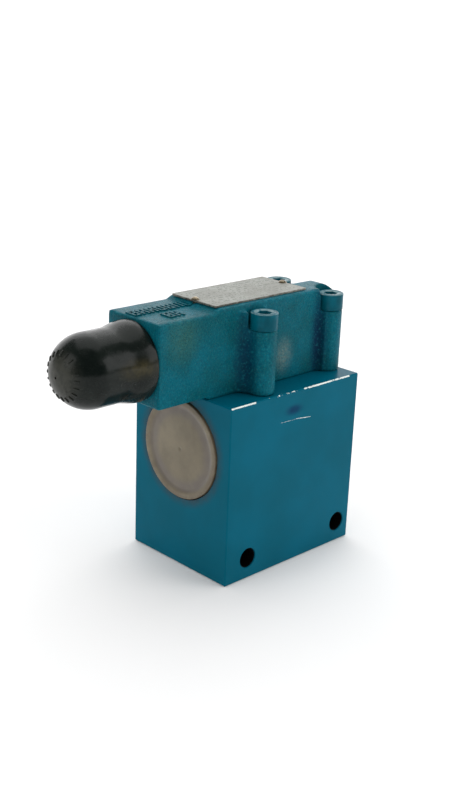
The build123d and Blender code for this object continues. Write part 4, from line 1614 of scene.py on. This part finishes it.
class RubberCap:
    """Moulded cap over the adjuster, with a breather hole and a ring of raised dashes."""

    def __init__(self, size: CapSize, finish: Material) -> None:
        """Keeps the size and the finish."""
        self.size = size
        self.finish = finish

    def outline(self, low: Vector, high: Vector) -> tuple[list[Ring], float, float]:
        """Closed outline of the cap.

        Args:
            low: the CAD cap's lowest corner.
            high: its highest corner.

        Returns:
            The rings, the neck's radius and the dome's centre along X.
        """
        size = self.size
        base_r = (high.z - low.z) / 2
        neck_r = base_r - size.base_step
        inner_r = neck_r - size.wall
        dome = low.x + neck_r
        mouth = high.x
        rings = [Ring(x, r) for x, r in arc((mouth - size.lip, base_r - size.lip), size.lip, 0, 90, 4)]
        land, neck = mouth - size.land, mouth - size.flare
        for step in range(17):
            share = step / 16
            rings.append(Ring(land + (neck - land) * share, base_r - (base_r - neck_r) * smooth_step(share)))
        start = math.degrees(math.asin(size.hole_r / neck_r))
        outside = arc((dome, 0.0), neck_r, 90, 180 - start, 26)
        rings += [Ring(x, r) for x, r in outside]
        start = math.degrees(math.asin(size.hole_r / inner_r))
        inside = arc((dome, 0.0), inner_r, 180 - start, 90, 20)
        rings += [Ring(x, r) for x, r in inside]
        rings += [Ring(mouth - size.mouth_chamfer, inner_r), Ring(mouth, inner_r + size.mouth_chamfer)]
        return rings, neck_r, dome

    def build(self) -> bpy.types.Object:
        """Turns the cap and adds the dashes.

        Returns:
            The cap's visible body.
        """
        low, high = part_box("protective_cap")
        centre = Vector((0.0, 0.0, (low.z + high.z) / 2))
        rings, neck_r, dome = self.outline(low, high)
        cap = finish_mesh(lathe(rings, Axis.X, centre, segments=128), "cap_shell", crease=40)
        tilt = math.radians(self.size.dash_tilt)
        repeater = Repeater("cap_dashes")
        graph = repeater.graph
        count = repeater.value("Count", "NodeSocketInt", self.size.dash_count)
        ring_r = repeater.value("Ring Radius", "NodeSocketFloat", neck_r * math.sin(tilt))
        along = repeater.value("Along", "NodeSocketFloat", dome - neck_r * math.cos(tilt))
        height = repeater.value("Height", "NodeSocketFloat", centre.z)
        dash = repeater.value("Dash", "NodeSocketVector", self.size.dash)
        seed = repeater.value("Seed", "NodeSocketInt", self.size.dash_seed)
        circle = graph.node("GeometryNodeMeshCircle", {"Vertices": count, "Radius": ring_r})
        place = graph.node("ShaderNodeCombineXYZ", {0: along, 2: height})
        stood = graph.node("GeometryNodeTransform", {
            "Geometry": circle.outputs[0], "Translation": place.outputs[0],
            "Rotation": (0.0, math.pi / 2, 0.0),
        })
        bar = graph.node("GeometryNodeMeshCube", {"Size": dash})
        fine = graph.node("GeometryNodeSubdivisionSurface", {
            "Mesh": bar.outputs[0], "Level": 2, "Edge Crease": 0.35,
        })
        pick = graph.node("FunctionNodeRandomValue", {"Seed": seed}, data_type="FLOAT")
        pick.inputs[2].default_value, pick.inputs[3].default_value = self.size.dash_width
        width = graph.node("ShaderNodeCombineXYZ", {0: 1.0, 1: pick.outputs[1], 2: 1.0})
        dashes = graph.node("GeometryNodeInstanceOnPoints", {
            "Points": stood.outputs[0], "Instance": fine.outputs[0],
            "Rotation": self.facing(graph, dome, height), "Scale": width.outputs[0],
        })
        whole = repeater.join(repeater.source(), dashes.outputs[0])
        body = repeater.run(cap, whole, self.finish, "rubber_cap")
        return place_on(body, Body.CAP, "black_rubber", self.finish, "protective_cap")

    @staticmethod
    def facing(graph: Graph, dome: float, height: Socket) -> Socket:
        """Turns a dash to stand on the dome, its length pointing at the tip.

        Args:
            graph: the dashes' graph.
            dome: the dome's centre along X.
            height: height of the cap's centre line.

        Returns:
            The rotation.
        """
        at = graph.node("GeometryNodeInputPosition").outputs[0]
        middle = graph.node("ShaderNodeCombineXYZ", {0: dome, 2: height}).outputs[0]
        align = "FunctionNodeAlignRotationToVector"
        outward = graph.vector("SUBTRACT", at, middle)
        stood = graph.node(align, {"Vector": outward}, axis="X", pivot_axis="AUTO").outputs[0]
        round_tip = graph.vector("CROSS_PRODUCT", outward, (-1.0, 0.0, 0.0))
        turned = graph.node(align, {"Rotation": stood, "Vector": round_tip}, axis="Y", pivot_axis="X")
        return turned.outputs[0]


@dataclass(frozen=True)
class CoverSize:
    """The port plug's rim, dish, moulding point, shank and ribs. The dish's flat is a share of the radius."""

    rim_width: float = 1.7 * MM
    rim_round: float = 0.35 * MM
    dish_flat: float = 0.80
    dish_share: float = 0.96
    crown: float = 0.44 * MM
    point_rise: tuple[float, float] = (0.10 * MM, 0.42 * MM)
    point_r: tuple[float, float, float] = (0.45 * MM, 0.9 * MM, 1.6 * MM)
    blunt: float = 0.15 * MM
    end_chamfer: float = 0.3 * MM
    rim_edge: float = 0.35 * MM
    dish: float = 0.9 * MM
    flange: float = 1.7 * MM
    wall: float = 1.6 * MM
    shank_inset: float = 4.45 * MM
    rib: float = 0.44 * MM
    rib_width: float = 0.8 * MM
    rib_rise: float = 0.15 * MM
    rib_fall: float = 0.25 * MM
    rib_first: float = 2.0 * MM
    rib_room: float = 3.0 * MM
    rib_count: int = 3


class PortCover:
    """Push-in plastic plug in a main port."""

    def __init__(self, node: str, body: Body, size: CoverSize, finish: Material) -> None:
        """Keeps the CAD node, the body, the size and the finish.

        Args:
            node: the CAD node that the plug stands for.
            body: the rigid body that carries it.
            size: sizes of its moulding.
            finish: its material.
        """
        self.node = node
        self.body = body
        self.size = size
        self.finish = finish

    def build(self) -> bpy.types.Object:
        """Turns the plug about its port's centre line.

        Returns:
            The plug's visible body.
        """
        size = self.size
        low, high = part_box(self.node)
        side = -1.0 if self.body is Body.OUTLET else 1.0
        top = low.x if side < 0 else high.x
        end = high.x if side < 0 else low.x
        radius = (high.z - low.z) / 2
        centre = Vector((0.0, 0.0, (low.z + high.z) / 2))
        shank_r = radius - size.shank_inset
        seat = top - side * size.flange
        dish = top - side * size.dish
        edge = size.rim_edge
        rings = [Ring(dish + side * size.point_rise[0], 0.0)]
        for rise, reach in zip((*size.point_rise, size.crown), size.point_r):
            rings.append(Ring(dish + side * rise, reach))
        flat_r, point_r = radius * size.dish_flat, size.point_r[2]
        for step in range(1, 13):
            share = step / 12
            crown = size.crown * (1 - share ** 2)
            rings.append(Ring(dish + side * crown, point_r + (flat_r - point_r) * share))
        inner = radius - size.rim_width
        for step in range(1, 9):
            share = step / 8
            rise = size.dish * smooth_step(share) * size.dish_share
            rings.append(Ring(dish + side * rise, flat_r + (inner - flat_r) * share))
        rings += [Ring(top, inner + size.rim_round), Ring(top, radius - edge)]
        for step in range(1, 5):
            angle = math.radians(90 * step / 4)
            inward = edge * (1 - math.cos(angle))
            rings.append(Ring(top - side * inward, radius - edge + edge * math.sin(angle)))
        rings.append(Ring(seat + side * size.blunt, radius))
        rings += [Ring(seat, radius - size.blunt), Ring(seat, shank_r)]
        length = abs(seat - end)
        for index in range(size.rib_count):
            rib = seat - side * (size.rib_first + index * (length - size.rib_room) / size.rib_count)
            rings += [
                Ring(rib, shank_r), Ring(rib - side * size.rib_rise, shank_r + size.rib),
                Ring(rib - side * (size.rib_width - size.rib_fall), shank_r + size.rib),
                Ring(rib - side * size.rib_width, shank_r),
            ]
        floor = dish - side * size.wall
        rings += [
            Ring(end + side * size.end_chamfer, shank_r), Ring(end, shank_r - size.end_chamfer),
            Ring(end, shank_r - size.wall), Ring(floor, shank_r - size.wall), Ring(floor, 0.0),
        ]
        piece = finish_mesh(lathe(rings, Axis.X, centre, segments=144), self.node + "_moulding", crease=40)
        return place_on(piece, self.body, "cover_plastic", self.finish, self.node)


@dataclass(frozen=True)
class ThreadSize:
    """Thread and socket of the adjusting screw. The ridge's two values are shares of the thread's depth."""

    pitch: float = 1.5 * MM
    depth: float = 0.55 * MM
    ridge_inset: float = 0.72
    ridge_thick: float = 0.70
    run_in: float = 0.8 * MM
    socket: float = 6.0 * MM
    socket_depth: float = 6.0 * MM
    socket_point: float = 0.8 * MM
    mouth: float = 0.35 * MM
    end_chamfer: float = 0.3 * MM
    point: float = 1.5 * MM


class AdjustingScrew:
    """Set screw that loads the pilot spring, with its thread."""

    def __init__(self, size: ThreadSize, finish: Material) -> None:
        """Keeps the size and the finish."""
        self.size = size
        self.finish = finish

    def build(self) -> bpy.types.Object:
        """Turns the core and winds the thread round it.

        Returns:
            The screw's visible body.
        """
        size = self.size
        low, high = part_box("adjusting_screw")
        radius = (high.y - low.y) / 2
        core = radius - size.depth
        centre = Vector((0.0, 0.0, (low.z + high.z) / 2))
        flats = size.socket / 2
        outer, inner = low.x, high.x
        rings = [
            Ring(outer + size.socket_depth + size.socket_point, 0.0),
            Ring(outer + size.socket_depth, flats, True), Ring(outer + size.mouth, flats, True),
            Ring(outer, flats * CORNER_OVER_FLAT + size.mouth), Ring(outer, core - size.end_chamfer),
            Ring(outer + size.end_chamfer, core), Ring(inner - size.point, core),
            Ring(inner, core - size.point), Ring(inner, 0.0),
        ]
        shank = finish_mesh(lathe(rings, Axis.X, centre, segments=72), "adjuster_core", crease=38)
        repeater = Repeater("adjuster_thread")
        graph = repeater.graph
        start = outer + size.run_in
        length = (inner - size.point) - start
        turns = repeater.value("Turns", "NodeSocketFloat", length / size.pitch)
        crest = repeater.value("Middle Radius", "NodeSocketFloat", radius - size.depth * size.ridge_inset)
        span = repeater.value("Length", "NodeSocketFloat", length)
        thick = repeater.value("Thickness", "NodeSocketFloat", size.depth * size.ridge_thick)
        spiral = graph.node("GeometryNodeCurveSpiral", {
            "Resolution": 40, "Rotations": turns, "Start Radius": crest, "End Radius": crest, "Height": span,
        })
        laid = graph.node("GeometryNodeTransform", {
            "Geometry": spiral.outputs[0], "Translation": (start, 0.0, centre.z),
            "Rotation": (0.0, math.pi / 2, 0.0),
        })
        section = graph.node("GeometryNodeCurvePrimitiveCircle", {"Resolution": 6, "Radius": thick})
        ridge = graph.node("GeometryNodeCurveToMesh", {
            "Curve": laid.outputs[0], "Profile Curve": section.outputs[0], "Fill Caps": True,
        })
        whole = repeater.join(repeater.source(), ridge.outputs[0])
        body = repeater.run(shank, whole, self.finish, "adjuster_screw")
        return place_on(body, Body.SCREW, "zinc_steel", self.finish, "adjusting_screw")


@dataclass(frozen=True)
class SpringTravel:
    """A spring, or a stretch of one, named after the joint that moves it."""

    node: str
    joint: str
    axis: Point
    fixed_high: bool
    travel: float
    span: tuple[float, float] = (0.0, 1.0)

    def build(self, finish: Material) -> bpy.types.Object:
        """Copies its stretch of the CAD spring.

        Args:
            finish: the wire's material.

        Returns:
            The spring's visible body.
        """
        low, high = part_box(self.node)
        along = Vector(self.axis)
        whole = abs((high - low).dot(along))
        ends = [low + along * whole * share for share in self.span]
        shape = cad_copy(self.node)
        for end, outward, share in zip(ends, (-along, along), self.span):
            if 0.0 < share < 1.0:
                geometry = shape.verts[:] + shape.edges[:] + shape.faces[:]
                cut = bmesh.ops.bisect_plane(
                    shape, geom=geometry, plane_co=end, plane_no=outward, clear_outer=True,
                )["geom_cut"]
                rim = [item for item in cut if isinstance(item, bmesh.types.BMEdge)]
                bmesh.ops.holes_fill(shape, edges=rim)
        wire = finish_mesh(shape, f"{self.node}_{self.joint}", crease=40)
        place_on(wire, Body.HOUSING, "spring_steel", finish, self.node)
        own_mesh(wire)
        return wire


# ---------------------------------------------------------------------------------------------
# Studio


@dataclass(frozen=True)
class CameraPose:
    """Where the camera stands, in metres and degrees."""

    aim: Point = (-0.026359, -0.010606, 0.084406)
    distance: float = 0.543559
    azimuth: float = -44.604
    elevation: float = 18.989
    roll: float = 2.137
    lens: float = 51.327
    sensor: float = 36.0
    clip: tuple[float, float] = (0.02, 50.0)

    def build(self) -> bpy.types.Object:
        """Makes the camera and sets it as the scene's.

        Returns:
            The camera.
        """
        data = bpy.data.cameras.new("camera")
        data.lens = self.lens
        data.sensor_width = self.sensor
        data.clip_start, data.clip_end = self.clip
        camera = link(data, "camera")
        turn, rise = math.radians(self.azimuth), math.radians(self.elevation)
        back = Vector((math.sin(turn) * math.cos(rise), -math.cos(turn) * math.cos(rise), math.sin(rise)))
        place = Vector(self.aim) + back * self.distance
        tilt = Matrix.Rotation(math.radians(self.roll), 4, "Z")
        looking = back.to_track_quat("Z", "Y").to_matrix().to_4x4()
        camera.matrix_world = Matrix.Translation(place) @ looking @ tilt
        bpy.context.scene.camera = camera
        return camera


@dataclass(frozen=True)
class SoftLight:
    """A square or oblong softbox."""

    name: str
    place: Point
    aim: Point
    size: tuple[float, float]
    watts: float
    tint: Colour = (1.0, 1.0, 1.0)

    def build(self) -> bpy.types.Object:
        """Makes the light.

        Returns:
            The light.
        """
        data = bpy.data.lights.new(self.name, "AREA")
        data.shape = "RECTANGLE"
        data.size, data.size_y = self.size
        data.energy = self.watts
        data.color = self.tint
        lamp = link(data, self.name)
        place = Vector(self.place)
        shining = (place - Vector(self.aim)).to_track_quat("Z", "Y").to_matrix().to_4x4()
        lamp.matrix_world = Matrix.Translation(place) @ shining
        return lamp


@dataclass(frozen=True)
class Studio:
    """Pale seamless floor, pale surroundings and three softboxes."""

    floor_tone: float = 0.86
    tone_spread: float = 0.03
    glow: tuple[float, float] = (0.04, 0.95)
    glow_reach: tuple[float, float] = (0.15, 2.2)
    fill: float = 0.62
    glossy_less: float = 0.93
    reach: float = 3.0
    half_width: float = 6.0
    bend: float = 1.2
    turn: float = -44.6
    drop: float = 0.2 * MM
    target: Point = (-0.02, 0.0, 0.07)

    def floor(self) -> bpy.types.Object:
        """Floor that curves up into a wall behind the object.

        Returns:
            The floor.
        """
        shape = bmesh.new()
        outline = [(-self.reach, 0.0), (self.reach, 0.0)]
        for step in range(1, 17):
            angle = math.radians(90 * step / 16)
            outline.append((self.reach + self.bend * math.sin(angle), self.bend * (1 - math.cos(angle))))
        outline.append((self.reach + self.bend, self.reach + self.bend))
        view = math.radians(self.turn)
        forward = Vector((-math.sin(view), math.cos(view), 0.0))
        side = Vector((math.cos(view), math.sin(view), 0.0))
        rows = []
        for along, height in outline:
            base = forward * along + Vector((0.0, 0.0, height - self.drop))
            ends = (base - side * self.half_width, base + side * self.half_width)
            rows.append([shape.verts.new(end) for end in ends])
        for first, second in zip(rows, rows[1:]):
            shape.faces.new((first[0], first[1], second[1], second[0]))
        floor = finish_mesh(shape, "studio_floor", crease=60)
        floor.data.materials.append(self.paper())
        return floor

    def paper(self) -> Material:
        """Matt paper that brightens away from the object, as a lit backdrop does.

        Returns:
            The material.
        """
        material = bpy.data.materials.new("studio_paper")
        material.use_nodes = True
        graph = Graph(material.node_tree)
        shader = material.node_tree.nodes["Principled BSDF"]
        where = graph.node("ShaderNodeTexCoord").outputs["Object"]
        tones = [[tone] * 3 for tone in (self.floor_tone, self.floor_tone + self.tone_spread)]
        tone = graph.mix(graph.noise(where, 3.0, detail=3.0), *tones)
        graph.tree.links.new(tone, shader.inputs["Base Color"])
        far = graph.ramp(graph.length(where), *self.glow_reach)
        glow = graph.mix(far, *([light] * 3 for light in self.glow))
        graph.tree.links.new(glow, shader.inputs["Emission Color"])
        shader.inputs["Emission Strength"].default_value = 1.0
        shader.inputs["Roughness"].default_value = 0.9
        shader.inputs["Specular IOR Level"].default_value = 0.1
        return material

    def world(self) -> None:
        """White surroundings as the camera sees them, dimmer as a light."""
        world = bpy.data.worlds.new("studio_world")
        world.use_nodes = True
        world.node_tree.nodes.clear()
        graph = Graph(world.node_tree)
        path = graph.node("ShaderNodeLightPath")
        lit = graph.plus(self.fill, graph.times(path.outputs["Is Camera Ray"], 1.0 - self.fill))
        level = graph.minus(lit, graph.times(path.outputs["Is Glossy Ray"], self.fill * self.glossy_less))
        background = graph.node("ShaderNodeBackground", {"Color": (1, 1, 1, 1), "Strength": level})
        graph.node("ShaderNodeOutputWorld", {0: background.outputs[0]})
        bpy.context.scene.world = world

    def build(self) -> None:
        """Sets the floor, the surroundings, the lights and the view transform."""
        self.floor()
        self.world()
        SoftLight("overhead", (0.25, 0.30, 1.25), self.target, size=(1.3, 1.3), watts=7.6).build()
        SoftLight("front_right", (0.75, -1.05, 0.65), self.target, size=(0.9, 0.9), watts=5.8).build()
        SoftLight("left_back", (-1.2, 0.25, 0.75), self.target, size=(0.7, 0.9), watts=3.2).build()
        bpy.context.scene.view_settings.view_transform = "Standard"


# ---------------------------------------------------------------------------------------------
# Assembly


class Valve:
    """The whole valve's looks."""

    def __init__(self, finishes: dict[str, Material]) -> None:
        """Keeps the finishes by material slot."""
        self.finishes = finishes

    def paint_nodes(self) -> None:
        """Gives every CAD node the material of its slot."""
        for part in frame["record"]["subparts"]:
            node = frame["nodes"].get(part["node"])
            if node is None:
                continue
            node.data.materials.clear()
            node.data.materials.append(self.finishes[part["material_slot"]])
            LOG.info("%s wears %s", part["node"], part["material_slot"])

    def build(self) -> None:
        """Builds every piece that stands for a CAD node."""
        wear = self.finishes
        self.paint_nodes()
        Casting(CastingSize(), wear["painted_casting"]).build()
        HeadScrews(ScrewSize(), wear["painted_fastener"]).build()
        NamePlate(PlateSize(), wear["nameplate_metal"], wear["drive_pin"]).build()
        RubberCap(CapSize(), wear["black_rubber"]).build()
        for name, body in (("outlet_port_plug", Body.OUTLET), ("inlet_port_plug", Body.INLET)):
            PortCover(name, body, CoverSize(), wear["cover_plastic"]).build()
        AdjustingScrew(ThreadSize(), wear["zinc_steel"]).build()
        up, right = (0.0, 0.0, 1.0), (1.0, 0.0, 0.0)
        for spring in (
            SpringTravel("main_spring", "main_poppet_lift", up, fixed_high=True, travel=6.0 * MM),
            SpringTravel("pilot_spring", "preload_travel", right, True, 6.0 * MM, span=(0.0, 0.75)),
            SpringTravel("pilot_spring", "pilot_poppet_lift", right, False, 1.2 * MM, span=(0.75, 1.0)),
        ):
            spring.build(wear["spring_steel"])


def main() -> None:
    """Builds the valve and its studio."""
    logging.basicConfig(level=logging.INFO, format="%(name)s: %(message)s")
    Valve(make_finishes()).build()
    Studio().build()
    CameraPose().build()


if __name__ == "__main__":
    main()
